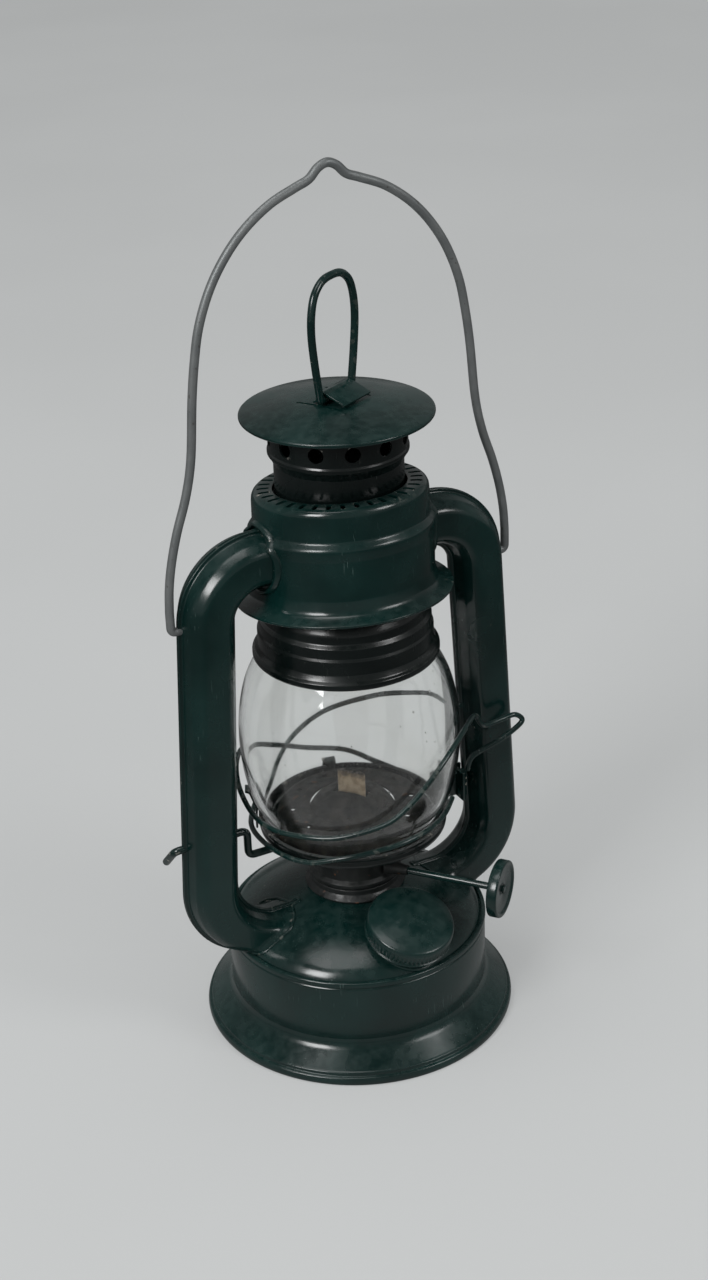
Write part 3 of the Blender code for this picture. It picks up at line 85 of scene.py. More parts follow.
def photo_camera():
    data = bpy.data.cameras.new("photo_camera")
    data.sensor_fit = "VERTICAL"
    data.sensor_height = SENSOR
    data.lens = SENSOR * FOCAL_PIXELS / PICTURE_HEIGHT
    camera = bpy.data.objects.new("photo_camera", data)
    bpy.context.scene.collection.objects.link(camera)
    turn = Matrix.Rotation(-CAMERA_TURN, 4, "Z") @ Matrix.Rotation(math.pi / 2 - CAMERA_TILT, 4, "X")
    camera.matrix_world = Matrix.Translation(CAMERA_PLACE) @ turn @ Matrix.Rotation(CAMERA_ROLL, 4, "Z")
    bpy.context.scene.camera = camera
    return camera


print("Lens in mm:", round(photo_camera().data.lens, 2))

# %% [markdown]
# Procedural materials are small node trees. Writing each node and link by hand is long, so one
# helper adds a node and fills its sockets: a socket that is given another node's output is linked,
# and a socket that is given a number is set.

# %% Node helpers
def node(tree, kind, inputs=None, **settings):
    made = tree.nodes.new(kind)
    for key, value in settings.items():
        setattr(made, key, value)
    for socket, value in (inputs or {}).items():
        if isinstance(value, bpy.types.NodeSocket):
            tree.links.new(value, made.inputs[socket])
        else:
            made.inputs[socket].default_value = value
    return made


def paint(name, colour, roughness, metallic=0.0):
    made = bpy.data.materials.new(name)
    made.use_nodes = True
    shader = made.node_tree.nodes["Principled BSDF"]
    shader.inputs["Base Color"].default_value = (*colour, 1.0)
    shader.inputs["Roughness"].default_value = roughness
    shader.inputs["Metallic"].default_value = metallic
    return made, made.node_tree, shader


print("Node helpers ready")

# %% [markdown]
# Every finish is made of the same few steps. Noise gives patches, counted in a metre of the piece.
# A range turns them into a share between 0 and 1, and a share blends colours or adds roughness.
# Two shares come from the shape itself: convex edges, which get rubbed, and faces that look up.

# %% Patterns and wear
def place_of(tree, stretch=(1.0, 1.0, 1.0)):
    """Metres on the piece, stretched where a pattern runs in one direction."""
    spot = node(tree, "ShaderNodeTexCoord").outputs["Object"]
    return node(tree, "ShaderNodeMapping", {"Vector": spot, "Scale": stretch}).outputs["Vector"]


def grain_of(tree, spot, per_metre, detail=2.0):
    """Plain noise; per_metre is how many grains there are in a metre."""
    inputs = {"Vector": spot, "Scale": per_metre, "Detail": detail}
    return node(tree, "ShaderNodeTexNoise", inputs).outputs["Fac"]


def mottle(tree, spot, per_metre, low=0.35, high=0.65, detail=3.0):
    """Soft patches from 0 to 1; per_metre is how many there are in a metre."""
    inputs = {"Value": grain_of(tree, spot, per_metre, detail), "From Min": low, "From Max": high}
    return node(tree, "ShaderNodeMapRange", inputs, interpolation_type="SMOOTHSTEP").outputs["Result"]


def spread(tree, value, low, high):
    """Spreads the part of a value from low to high over 0 to 1."""
    inputs = {"Value": value, "From Min": low, "From Max": high}
    return node(tree, "ShaderNodeMapRange", inputs).outputs["Result"]


def scaled(tree, value, low, high):
    """Turns 0 to 1 into low to high."""
    inputs = {"Value": value, "To Min": low, "To Max": high}
    return node(tree, "ShaderNodeMapRange", inputs).outputs["Result"]


def times(tree, first, second, operation="MULTIPLY"):
    """Arithmetic on two values, kept between 0 and 1."""
    made = node(tree, "ShaderNodeMath", {0: first, 1: second}, operation=operation, use_clamp=True)
    return made.outputs[0]


def blend(tree, share, first, second):
    """One colour over another; each is a colour of three numbers or a socket."""
    mix = node(tree, "ShaderNodeMix", {"Factor": share}, data_type="RGBA")
    for socket, value in ((mix.inputs[6], first), (mix.inputs[7], second)):
        if isinstance(value, bpy.types.NodeSocket):
            tree.links.new(value, socket)
        else:
            socket.default_value = (*value, 1.0)
    return mix.outputs[2]


def relief(tree, height, depth, under=None):
    """A bump of real depth in metres, on top of another one."""
    inputs = {"Height": height, "Distance": depth, "Strength": 1.0}
    if under is not None:
        inputs["Normal"] = under
    return node(tree, "ShaderNodeBump", inputs).outputs["Normal"]


def edge_share(tree, low, high):
    """1 on the convex edges that hands and use rub, 0 on the flats and in the hollows."""
    return spread(tree, node(tree, "ShaderNodeNewGeometry").outputs["Pointiness"], low, high)


def upward_share(tree):
    """1 where a face looks up, gathers dust and takes a painted sheen; 0 where it is upright or looks
    down.
    """
    way = node(tree, "ShaderNodeNewGeometry").outputs["Normal"]
    return spread(tree, node(tree, "ShaderNodeSeparateXYZ", {"Vector": way}).outputs["Z"], 0.3, 1.0)


print("Pattern helpers ready")

# %% [markdown]
# The lantern is dipped in a very dark blue-green stove enamel. On the real one it is glossy but
# not a mirror: it lies in faint ripples over thin sheet that was never quite flat, it has gone dull
# where dust has settled, and edges that are knocked show pale primer and bare tin. Faces that look
# up are painted paler, partly as that dust and partly as a painted sheen of the light from above.
# A single colour would look like plastic, so the colour, the gloss and the surface all vary,
# each at its own scale: hand-sized waves, millimetre ripples and short fine scratches.
# The same recipe makes three coats: the common one, a thicker one that hasn't chipped, and one
# that the heat over the flame has turned almost black.

# %% Stove enamel
# Patterns, as patches in a metre
TONE_PATCHES, GLOSS_PATCHES, DUST_AND_SHEEN_PATCHES = 45.0, 90.0, 420.0
SCRATCHES, SCRATCHED_PATCHES = 2600.0, 60.0
CHIPS, NICKS = 420.0, 520.0
HAND_WAVES, RIPPLES = 55.0, 700.0
# Depths in metres
HAND_WAVE_DEPTH, RIPPLE_DEPTH, CHIP_DEPTH = 0.00035, 0.000010, 0.00006
RUBBED_FROM, RUBBED_TO = 0.53, 0.60     # 0.5 is a flat face, more is convex
SCRATCH_STRETCH = (1.0, 1.0, 0.06)      # scratches run up and down
# How much the faces that look up are painted paler, as dust and as a painted sheen of light from above.
DUST_AND_SHEEN_SHARE = 0.17
SCRATCH_SHARE = 0.45
BARE_TIN = (0.33, 0.31, 0.27)


def stove_enamel(name, deep, pale, dust, gloss, chips):
    """deep and pale are the paint's two tones; the higher chips is, the fewer edges are chipped."""
    made, tree, shader = paint(name, deep, gloss)
    spot = place_of(tree)
    colour = blend(tree, mottle(tree, spot, TONE_PATCHES, 0.3, 0.7), deep, pale)
    # Faces that look up are painted paler and duller: real dust, and also a painted sheen of the light
    # from above.
    dust_and_sheen = times(tree, upward_share(tree), mottle(tree, spot, DUST_AND_SHEEN_PATCHES, 0.25, 0.85, 5.0))
    dust_and_sheen = times(tree, dust_and_sheen, DUST_AND_SHEEN_SHARE)
    colour = blend(tree, dust_and_sheen, colour, dust)
    scratched = mottle(tree, place_of(tree, SCRATCH_STRETCH), SCRATCHES, 0.68, 0.74, 2.0)
    scratched = times(tree, scratched, mottle(tree, spot, SCRATCHED_PATCHES, 0.45, 0.65))
    colour = blend(tree, times(tree, scratched, SCRATCH_SHARE), colour, dust)
    knocked = times(tree, edge_share(tree, RUBBED_FROM, RUBBED_TO),
                    mottle(tree, spot, CHIPS, chips, chips + 0.05, 4.0))
    bare = times(tree, knocked, mottle(tree, spot, NICKS, 0.765, 0.78, 5.0), "MAXIMUM")
    tree.links.new(blend(tree, bare, colour, BARE_TIN), shader.inputs["Base Color"])
    rough = scaled(tree, mottle(tree, spot, GLOSS_PATCHES), gloss, gloss + 0.10)
    for wear, dulling in ((dust_and_sheen, 0.6), (scratched, 0.18), (bare, 0.35)):
        rough = times(tree, rough, times(tree, wear, dulling), "ADD")
    tree.links.new(rough, shader.inputs["Roughness"])
    surface = relief(tree, grain_of(tree, spot, HAND_WAVES, 1.0), HAND_WAVE_DEPTH)
    surface = relief(tree, grain_of(tree, spot, RIPPLES), RIPPLE_DEPTH, surface)
    surface = relief(tree, times(tree, 1.0, bare, "SUBTRACT"), CHIP_DEPTH, surface)
    tree.links.new(surface, shader.inputs["Normal"])
    shader.inputs["IOR"].default_value = 1.52
    shader.inputs["Coat Weight"].default_value = 0.12
    shader.inputs["Coat Roughness"].default_value = 0.08
    return made


# Each coat's third tone is its dust tone. On faces that look up it also paints the sheen of light from
# above.
TEAL = ((0.0012, 0.0100, 0.0089), (0.0024, 0.0190, 0.0168), (0.08, 0.13, 0.12))     # deep, pale, dust
BLACKENED = ((0.0015, 0.0032, 0.0030), (0.0032, 0.0060, 0.0057), (0.07, 0.08, 0.07))
ENAMEL = stove_enamel("stove_enamel", *TEAL, 0.18, 0.60)
THICK_ENAMEL = stove_enamel("thick_enamel", *TEAL, 0.20, 0.80)
DULLED = stove_enamel("heat_dulled_enamel", *BLACKENED, 0.19, 0.62)
print("Enamels:", ENAMEL.name, THICK_ENAMEL.name, DULLED.name)

# %% [markdown]
# The bail is plain galvanised wire. Zinc is a metal, so the shader is half metallic, but old zinc
# is dull grey with darker patches, and its bloom hides the mirror. A fine grain roughens it.

# %% Galvanised wire
DARK_ZINC, PALE_ZINC, STAIN = (0.15, 0.16, 0.162), (0.21, 0.22, 0.22), (0.06, 0.05, 0.04)
ZINC_METALLIC = 0.55
ZINC_PATCHES, STAINS, ZINC_GRAIN = 140.0, 700.0, 2400.0     # in a metre
STAIN_SHARE = 0.6
ZINC_GRAIN_DEPTH = 0.00004


def galvanised(name):
    made, tree, shader = paint(name, PALE_ZINC, 0.45, ZINC_METALLIC)
    spot = place_of(tree)
    patches = mottle(tree, spot, ZINC_PATCHES, 0.25, 0.75)
    stains = times(tree, mottle(tree, spot, STAINS, 0.66, 0.74), STAIN_SHARE)
    colour = blend(tree, stains, blend(tree, patches, DARK_ZINC, PALE_ZINC), STAIN)
    tree.links.new(colour, shader.inputs["Base Color"])
    tree.links.new(scaled(tree, patches, 0.50, 0.42), shader.inputs["Roughness"])
    surface = relief(tree, grain_of(tree, spot, ZINC_GRAIN), ZINC_GRAIN_DEPTH)
    tree.links.new(surface, shader.inputs["Normal"])
    return made


ZINC = galvanised("galvanised_wire")
print("Wire finish:", ZINC.name)

# %% [markdown]
# The globe is blown soda glass. Transmission with a real wall thickness bends what lies behind it,
# as the real one does near its edges. Blown glass is slightly wavy, holds tiny seeds, and this one
# carries a faint smoke haze; each is a soft change of gloss, colour or surface.

# %% Blown glass
CLEAR_GLASS, SMOKED_GLASS, SEED = (0.975, 0.985, 0.98), (0.86, 0.86, 0.83), (0.42, 0.42, 0.40)
SEEDS, SEEDED_PATCHES, HAZE_PATCHES, GLASS_WAVES = 210.0, 70.0, 38.0, 50.0      # in a metre
SEED_REACH, SEED_CORE = 0.10, 0.06      # of the way from one seed to the next
HAZE_SHARE = 0.35
GLASS_WAVE_DEPTH = 0.00035


def blown_glass(name):
    made, tree, shader = paint(name, CLEAR_GLASS, 0.02)
    spot = place_of(tree)
    cells = node(tree, "ShaderNodeTexVoronoi", {"Vector": spot, "Scale": SEEDS})
    seeds = spread(tree, cells.outputs["Distance"], SEED_REACH, SEED_CORE)
    seeds = times(tree, seeds, mottle(tree, spot, SEEDED_PATCHES, 0.52, 0.60))
    haze = mottle(tree, spot, HAZE_PATCHES, 0.45, 0.75)
    clear = blend(tree, times(tree, haze, HAZE_SHARE), CLEAR_GLASS, SMOKED_GLASS)
    tree.links.new(blend(tree, seeds, clear, SEED), shader.inputs["Base Color"])
    rough = times(tree, scaled(tree, haze, 0.03, 0.07), times(tree, seeds, 0.3), "ADD")
    tree.links.new(rough, shader.inputs["Roughness"])
    surface = relief(tree, grain_of(tree, spot, GLASS_WAVES, 0.5), GLASS_WAVE_DEPTH)
    tree.links.new(surface, shader.inputs["Normal"])
    shader.inputs["IOR"].default_value = 1.5
    shader.inputs["Transmission Weight"].default_value = 1.0
    return made


GLASS = blown_glass("blown_glass")
print("Globe finish:", GLASS.name)

# %% [markdown]
# Inside the globe the tin of the burner has been over the flame for years: it is brown-black with
# soot, with a little rust where oil has crept. The same recipe with other colours makes the tin
# that stays bright under the cap. Both are mixes of two tones with a third one in spots.

# %% Burner tin and bright tin
SOOT, PALE_SOOT = (0.012, 0.011, 0.0095), (0.040, 0.034, 0.028)
BURNER_BLACK, BURNER_GREY = (0.006, 0.008, 0.008), (0.014, 0.016, 0.015)
DULL_TIN, BRIGHT_TIN = (0.36, 0.34, 0.30), (0.52, 0.50, 0.46)
BROWN_RUST, RED_RUST, PALE_RUST = (0.09, 0.042, 0.020), (0.16, 0.055, 0.018), (0.20, 0.11, 0.05)
TIN_PATCHES, RUST_PATCHES, POLISH_PATCHES, CRUST = 240.0, 330.0, 500.0, 1500.0      # in a metre
CRUST_DEPTH, RUST_DEPTH = 0.00008, 0.00010


def worn_tin(name, dark, light, spots, metallic, roughness, spotted):
    """Two tones with rust; the higher spotted is, the fewer spots there are."""
    made, tree, shader = paint(name, dark, roughness, metallic)
    spot = place_of(tree)
    colour = blend(tree, mottle(tree, spot, TIN_PATCHES, 0.35, 0.65, 5.0), dark, light)
    rusted = mottle(tree, spot, RUST_PATCHES, spotted, spotted + 0.08, 6.0)
    tree.links.new(blend(tree, rusted, colour, spots), shader.inputs["Base Color"])
    rough = scaled(tree, mottle(tree, spot, POLISH_PATCHES), roughness - 0.12, roughness + 0.15)
    tree.links.new(rough, shader.inputs["Roughness"])
    tree.links.new(times(tree, metallic, times(tree, rusted, 0.8), "SUBTRACT"), shader.inputs["Metallic"])
    crust = relief(tree, grain_of(tree, spot, CRUST, 4.0), CRUST_DEPTH)
    tree.links.new(relief(tree, rusted, RUST_DEPTH, crust), shader.inputs["Normal"])
    return made


SOOTY = worn_tin("sooty_tin", SOOT, PALE_SOOT, BROWN_RUST, 0.12, 0.72, 0.64)
BURNT = worn_tin("burner_tin", BURNER_BLACK, BURNER_GREY, RED_RUST, 0.10, 0.44, 0.64)
TIN = worn_tin("bright_tin", DULL_TIN, BRIGHT_TIN, PALE_RUST, 0.95, 0.34, 0.70)
print("Tin finishes:", SOOTY.name, BURNT.name, TIN.name)

# %% [markdown]
# The wick is flat woven cotton, tan with oil, charred black along its burning edge. A woven look
# comes from two crossing waves used as a bump; the char is a colour that follows the height, with
# a ragged edge. The gasket in the filler cap is pressed cork: cells of a few browns.

# %% Wick cotton and cork
WICK_TURN = math.radians(-50.5)
WICK_LOW, WICK_HIGH = (corner.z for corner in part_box("wick"))
CHAR_DEPTH, CHAR_RAGGED = 0.0024, 0.0030
CHAR_EDGE = WICK_HIGH + CHAR_RAGGED / 2
CHAR_PATCHES, CLOTH_PATCHES, CORK_GRAINS = 800.0, 500.0, 1100.0     # in a metre
WEAVE_SCALE, WEAVE_DEPTH = 85.0, 0.00025
CORK_DEPTH = 0.0002
DARK_COTTON, PALE_COTTON, CHARRED = (0.30, 0.215, 0.13), (0.47, 0.36, 0.24), (0.012, 0.010, 0.009)
DARK_CORK, PALE_CORK = (0.24, 0.14, 0.07), (0.44, 0.29, 0.17)


def wick_cotton(name):
    made, tree, shader = paint(name, PALE_COTTON, 0.95)
    spot = place_of(tree)
    height = node(tree, "ShaderNodeSeparateXYZ", {"Vector": spot}).outputs["Z"]
    inputs = {0: grain_of(tree, spot, CHAR_PATCHES), 1: CHAR_RAGGED, 2: height}
    edge = node(tree, "ShaderNodeMath", inputs, operation="MULTIPLY_ADD").outputs[0]
    char = spread(tree, edge, CHAR_EDGE - CHAR_DEPTH, CHAR_EDGE)
    cloth = blend(tree, mottle(tree, spot, CLOTH_PATCHES), DARK_COTTON, PALE_COTTON)
    tree.links.new(blend(tree, char, cloth, CHARRED), shader.inputs["Base Color"])
    inputs = {"Vector": spot, "Angle": -WICK_TURN}
    across = node(tree, "ShaderNodeVectorRotate", inputs, rotation_type="Z_AXIS").outputs[0]
    waves = []
    for way in ("X", "Z"):
        inputs = {"Vector": across, "Scale": WEAVE_SCALE, "Distortion": 0.6}
        waves.append(node(tree, "ShaderNodeTexWave", inputs, bands_direction=way).outputs["Fac"])
    tree.links.new(relief(tree, times(tree, *waves), WEAVE_DEPTH), shader.inputs["Normal"])
    shader.inputs["Sheen Weight"].default_value = 0.3
    return made


def pressed_cork(name):
    made, tree, shader = paint(name, PALE_CORK, 0.9)
    grains = node(tree, "ShaderNodeTexVoronoi", {"Vector": place_of(tree), "Scale": CORK_GRAINS})
    colour = blend(tree, mottle(tree, grains.outputs["Position"], 9000.0), DARK_CORK, PALE_CORK)
    tree.links.new(colour, shader.inputs["Base Color"])
    tree.links.new(relief(tree, grains.outputs["Distance"], CORK_DEPTH), shader.inputs["Normal"])
    return made


COTTON = wick_cotton("wick_cotton")
CORK = pressed_cork("pressed_cork")
print("Soft finishes:", COTTON.name, CORK.name)

# %% [markdown]
# Almost every piece here is one of three things: sheet turned round the lamp's axis, a strip of
# sheet bent to shape, or wire. Sheet is drawn as its outer side only, corner by corner: how far
# out, how high, and the radius of the bend. The helpers bend the corners, give the sheet its
# thickness and roll its two edges round, as a press would.

# %% Bending sheet
SHEET = 0.0006
BEND_SHARE = 0.48           # the most of a side that one bend may use
ON_AXIS = 1e-6              # nearer to the axis than this is on it


def bend_at(before, corner, after, radius, steps):
    """The points of one bend: a corner between two straights, turned on a radius."""
    back, ahead = before - corner, after - corner
    reach = radius / math.tan(max(back.angle(ahead), ON_AXIS) / 2)
    reach = min(reach, BEND_SHARE * back.length, BEND_SHARE * ahead.length)
    start, end = corner + back.normalized() * reach, corner + ahead.normalized() * reach
    made = []
    for step in range(steps + 1):
        share = step / steps
        made.append(start * (1 - share) ** 2 + corner * 2 * share * (1 - share) + end * share ** 2)
    return made


def bent(path, steps=5):
    """A path whose corners are bent round; a corner's third number is the radius of its bend."""
    points = [Vector(corner[:2]) for corner in path]
    made = []
    for index, corner in enumerate(path):
        if len(corner) < 3 or index in (0, len(path) - 1):
            made.append(points[index])
        else:
            made += bend_at(points[index - 1], points[index], points[index + 1], corner[2], steps)
    return made


def sheet_section(skin, thickness=SHEET, edge_steps=4):
    """The closed section of a sheet of which the outer side is given.

    The sheet's material lies on the right of the path. A path that starts on the axis has no edge
    to roll there.
    """
    count = len(skin)
    ways = [(skin[min(i + 1, count - 1)] - skin[max(i - 1, 0)]).normalized() for i in range(count)]
    outs = [Vector((-way.y, way.x)) for way in ways]
    half = thickness / 2
    skin = [point.copy() for point in skin]
    solid = skin[0].x < ON_AXIS
    if not solid:
        skin[0] += ways[0] * half
    skin[-1] -= ways[-1] * half
    inside = [point - out * thickness for point, out in zip(skin, outs)]

    def edge(middle, out, way):
        turns = [math.pi * step / edge_steps for step in range(1, edge_steps)]
        return [middle + (out * math.cos(turn) + way * math.sin(turn)) * half for turn in turns]

    last = edge((skin[-1] + inside[-1]) / 2, outs[-1], ways[-1])
    first = [] if solid else edge((skin[0] + inside[0]) / 2, -outs[0], -ways[0])
    return skin + last + inside[::-1] + first


print("A test bend has", len(bent([(0.01, 0), (0.02, 0, 0.002), (0.02, 0.01)])), "points")

# %% [markdown]
# Turning carries a section round an axis, as on a spinning lathe. A knurl, the fine wave that
# gives fingers a grip, is pressed in on the way. A made piece is shaded smooth, except over corners
# that are sharper than a bend.

# %% Turning
ROUND = 144                 # steps round a turned piece
SHARP = math.radians(50)


def made_object(name, bm):
    bmesh.ops.recalc_face_normals(bm, faces=bm.faces)
    mesh = bpy.data.meshes.new(name)
    bm.to_mesh(mesh)
    bm.free()
    mesh.shade_smooth()
    mesh.set_sharp_from_angle(angle=SHARP)
    piece = bpy.data.objects.new(name, mesh)
    bpy.context.scene.collection.objects.link(piece)
    return piece


def knurl_cut(knurls, reach, height, turn):
    """How far a knurl is pressed in; knurls says its count, depth, top, foot and innermost reach."""
    count, depth, top, foot, innermost = knurls
    if not foot <= height <= top or reach <= innermost:
        return 0.0
    return depth * (0.5 - 0.5 * math.cos(count * turn))


def turned(name, section, steps=ROUND, place=Matrix.Identity(4), knurls=None):
    """A closed section turned round the place's Z axis."""
    bm = bmesh.new()
    rows = []
    for reach, height in section:
        if reach < ON_AXIS:
            rows.append([bm.verts.new(place @ Vector((0, 0, height)))] * steps)
            continue
        row = []
        for step in range(steps):
            turn = math.tau * step / steps
            out = reach - knurl_cut(knurls, reach, height, turn) if knurls else reach
            spot = Vector((out * math.cos(turn), out * math.sin(turn), height))
            row.append(bm.verts.new(place @ spot))
        rows.append(row)
    for above, below in zip(rows, rows[1:] + rows[:1]):
        for step in range(steps):
            after = (step + 1) % steps
            corners = list(dict.fromkeys((above[step], above[after], below[after], below[step])))
            if len(corners) > 2:
                bm.faces.new(corners)
    return made_object(name, bm)


print("Turned pieces have", ROUND, "steps")

# %% [markdown]
# Two more ways to make a piece from sections: lofting joins rings that change along a line, which
# is what a pressed tube needs, and a strip just gives one section a width.

# %% Lofting and strips
def lofted(name, rings, weld=0.0):
    """A skin over flat rings of equally many points, with its two ends closed."""
    bm = bmesh.new()
    rows = [[bm.verts.new(point) for point in ring] for ring in rings]
    size = len(rows[0])
    for above, below in zip(rows, rows[1:]):
        for index in range(size):
            after = (index + 1) % size
            bm.faces.new((above[index], above[after], below[after], below[index]))
    for row in (rows[0], rows[-1]):
        for index in range(size // 2 - 1):
            bm.faces.new((row[index], row[index + 1], row[size - 2 - index], row[size - 1 - index]))
    if weld:
        bmesh.ops.remove_doubles(bm, verts=bm.verts, dist=weld)
    return made_object(name, bm)


def strip(name, section, width, place):
    """A bent strip of sheet: its section in the place's XZ plane, its width along Y."""
    bm = bmesh.new()
    sides = [[bm.verts.new(place @ Vector((x, side * width / 2, z))) for x, z in section]
             for side in (-1, 1)]
    for index in range(len(section)):
        after = (index + 1) % len(section)
        bm.faces.new((sides[0][index], sides[0][after], sides[1][after], sides[1][index]))
    for side in sides:
        bm.faces.new(side)
    return made_object(name, bm)


print("Section helpers ready")

# %% [markdown]
# A dressed piece stands in for a packed one: it rides on the same body, hides the plain solid and
# takes its finish. One small function says all three, so that no piece is forgotten.
# Bent strips also get a narrow bevel, because a sheared edge always catches a line of light.

# %% Dressing a piece
SHEARED = 0.00012           # bevel on a sheared edge


def dressed(piece, body, finish, slot, *stands_for):
    if piece.data.materials:
        piece.data.materials[0] = finish
    else:
        piece.data.materials.append(finish)
    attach(piece, body)
    if stands_for:
        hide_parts(*stands_for)
    return piece


def applied(piece):
    """Keeps what the modifiers made, as the piece's own mesh."""
    bpy.context.view_layer.update()
    mesh = bpy.data.meshes.new_from_object(piece.evaluated_get(bpy.context.evaluated_depsgraph_get()))
    piece.modifiers.clear()
    piece.data = mesh
    mesh.shade_smooth()
    mesh.set_sharp_from_angle(angle=SHARP)


def softened(piece, width=SHEARED):
    """Bevels the sheared edges."""
    bevel = piece.modifiers.new("sheared edge", "BEVEL")
    bevel.width = width
    bevel.segments = 2
    bevel.limit_method = "ANGLE"
    applied(piece)
    return piece


# %% [markdown]
# Slots and holes are cut by punches, as on the real sheet: a small block or a short rod is put in
# every place of the row, and one Boolean takes them all out together. They have to be real holes,
# since daylight shows through them.

# %% Punching holes
PUNCH_LONG = 0.004
ON_ITS_SIDE = Matrix.Rotation(math.pi / 2, 4, "Y")


def all_round(count, spot, lying=Matrix.Identity(4)):
    """Places round the lamp's axis, the first of them half a step on from the X axis."""
    return [Matrix.Rotation(math.tau * (index + 0.5) / count, 4, "Z") @ Matrix.Translation(spot) @ lying
            for index in range(count)]


def mesh_of(name, bm):
    mesh = bpy.data.meshes.new(name)
    bm.to_mesh(mesh)
    bm.free()
    return mesh


def punched(piece, punch, places):
    """Cuts one shape out of a piece at several places."""
    bm = bmesh.new()
    for place in places:
        copy = punch.copy()
        copy.transform(place)
        bm.from_mesh(copy)
        bpy.data.meshes.remove(copy)
    tool = bpy.data.objects.new("punches", mesh_of("punches", bm))
    bpy.context.scene.collection.objects.link(tool)
    cut = piece.modifiers.new("punched", "BOOLEAN")
    cut.operation = "DIFFERENCE"
    cut.object = tool
    applied(piece)
    bpy.data.objects.remove(tool)
    return piece


def round_punch(radius, length=PUNCH_LONG, steps=20):
    bm = bmesh.new()
    bmesh.ops.create_cone(bm, cap_ends=True, segments=steps, radius1=radius, radius2=radius, depth=length)
    return mesh_of("round punch", bm)


def block_punch(size, rounded_by=0.0):
    bm = bmesh.new()
    bmesh.ops.create_cube(bm, size=1.0)
    bmesh.ops.scale(bm, verts=bm.verts, vec=Vector(size))
    if rounded_by:
        bmesh.ops.bevel(bm, geom=bm.edges, offset=rounded_by, segments=3, affect="EDGES")
    return mesh_of("block punch", bm)


print("Punches are", 1000 * PUNCH_LONG, "mm long")

# %% [markdown]
# The fount is the oil tank: a drawn cup with a crowned top, seamed together at the shoulder.
# From the camera the seam is the dark line round the shoulder, with a thin bead under it.
# A turned outline fits best, since every part of it is round. The crown is a shallow arc, so
# one function gives its height, and the tubes, the filler and the solder use the same function.

# %% Fount
GAP = 0.0003
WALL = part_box("fount_shell")[1].x
WALL_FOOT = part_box("fount_shell")[0].z
SHOULDER = 0.0290
CROWN_EDGE = 0.0145
CROWN_SAG = 0.0017
CROWN_SHEET = 0.0008
MOUTH = 0.0112
SEAM_WIDTH = 0.0011
SEAM_DEPTH = 0.0004
CROWN_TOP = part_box("burner_collar")[0].z - GAP - SHEET


def crown_arc():
    start, end = Vector((WALL, SHOULDER)), Vector((CROWN_EDGE, CROWN_TOP))
    half = (end - start).length / 2
    radius = (half ** 2 + CROWN_SAG ** 2) / (2 * CROWN_SAG)
    along = (end - start).normalized()
    centre = (start + end) / 2 - Vector((along.y, -along.x)) * (radius - CROWN_SAG)
    return centre, radius


def crown_height(reach):
    centre, radius = crown_arc()
    return centre.y + math.sqrt(radius ** 2 - (reach - centre.x) ** 2)


def fount_reach(height):
    """Radius of the fount's skin at a height: its wall below the shoulder, its crown above."""
    if height <= SHOULDER:
        return WALL
    centre, radius = crown_arc()
    return centre.x + math.sqrt(max(radius ** 2 - (height - centre.y) ** 2, 0.0))


CROWN_STEPS = 14
crown = []
for step in range(CROWN_STEPS + 1):
    reach = MOUTH + (WALL - 2 * SEAM_WIDTH - MOUTH) * step / CROWN_STEPS
    crown.append((reach, crown_height(reach)))
seam_low = SHOULDER - SEAM_WIDTH
fount_skin = bent(crown + [
    (WALL - 1.2 * SEAM_WIDTH, SHOULDER - SEAM_DEPTH / 2, 0.0006),
    (WALL - SEAM_WIDTH, SHOULDER + SEAM_DEPTH, 0.0004),
    (WALL + SEAM_DEPTH / 2, SHOULDER + SEAM_DEPTH, 0.0006), (WALL + SEAM_DEPTH / 2, seam_low, 0.0005),
    (WALL - SEAM_DEPTH, seam_low - SEAM_DEPTH, 0.0005), (WALL, seam_low - 2 * SEAM_DEPTH, 0.0012),
    (WALL, WALL_FOOT)])
fount = turned("fount", sheet_section(fount_skin, CROWN_SHEET))
dressed(fount, "frame", ENAMEL, "enamel", "fount_shell")
print("Crown rises", round(1000 * (CROWN_TOP - SHOULDER), 1), "mm above the shoulder")

# %% [markdown]
# The foot is a separate ring pressed over the bottom of the wall. It sweeps out in a cove, has a
# ledge with a crease, and ends in a rolled rim that the lamp stands on. The rim is where the
# enamel is worn, and the wear follows by itself from the bends, because the paint reads convexity.
# Inside it the tank's floor, of plain tin, is dished upwards.

# %% Foot and floor of the fount
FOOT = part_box("foot_ring")[1].x
FOOT_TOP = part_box("foot_ring")[1].z
SNUG = 0.0003               # the ring is pressed so tight that its top edge sinks into the wall
RIM_HEIGHT = 0.0026
LEDGE = 0.0438
foot_skin = bent([
    (WALL - SNUG, FOOT_TOP), (WALL + SNUG, 0.0084, 0.0045), (LEDGE - 0.0004, 0.0038, 0.0012),
    (LEDGE + 0.0001, RIM_HEIGHT + 0.0009, 0.0005), (LEDGE + 0.0002, RIM_HEIGHT, 0.0003),
    (FOOT - 0.0003, RIM_HEIGHT - 0.0002, 0.0007), (FOOT, RIM_HEIGHT / 2, 0.0012),
    (FOOT - 0.0002, 0.0, 0.0008), (FOOT - 0.0014, 0.0), (FOOT - 0.0022, 0.0006)])
dressed(turned("foot", sheet_section(foot_skin)), "frame", ENAMEL, "enamel", "foot_ring")

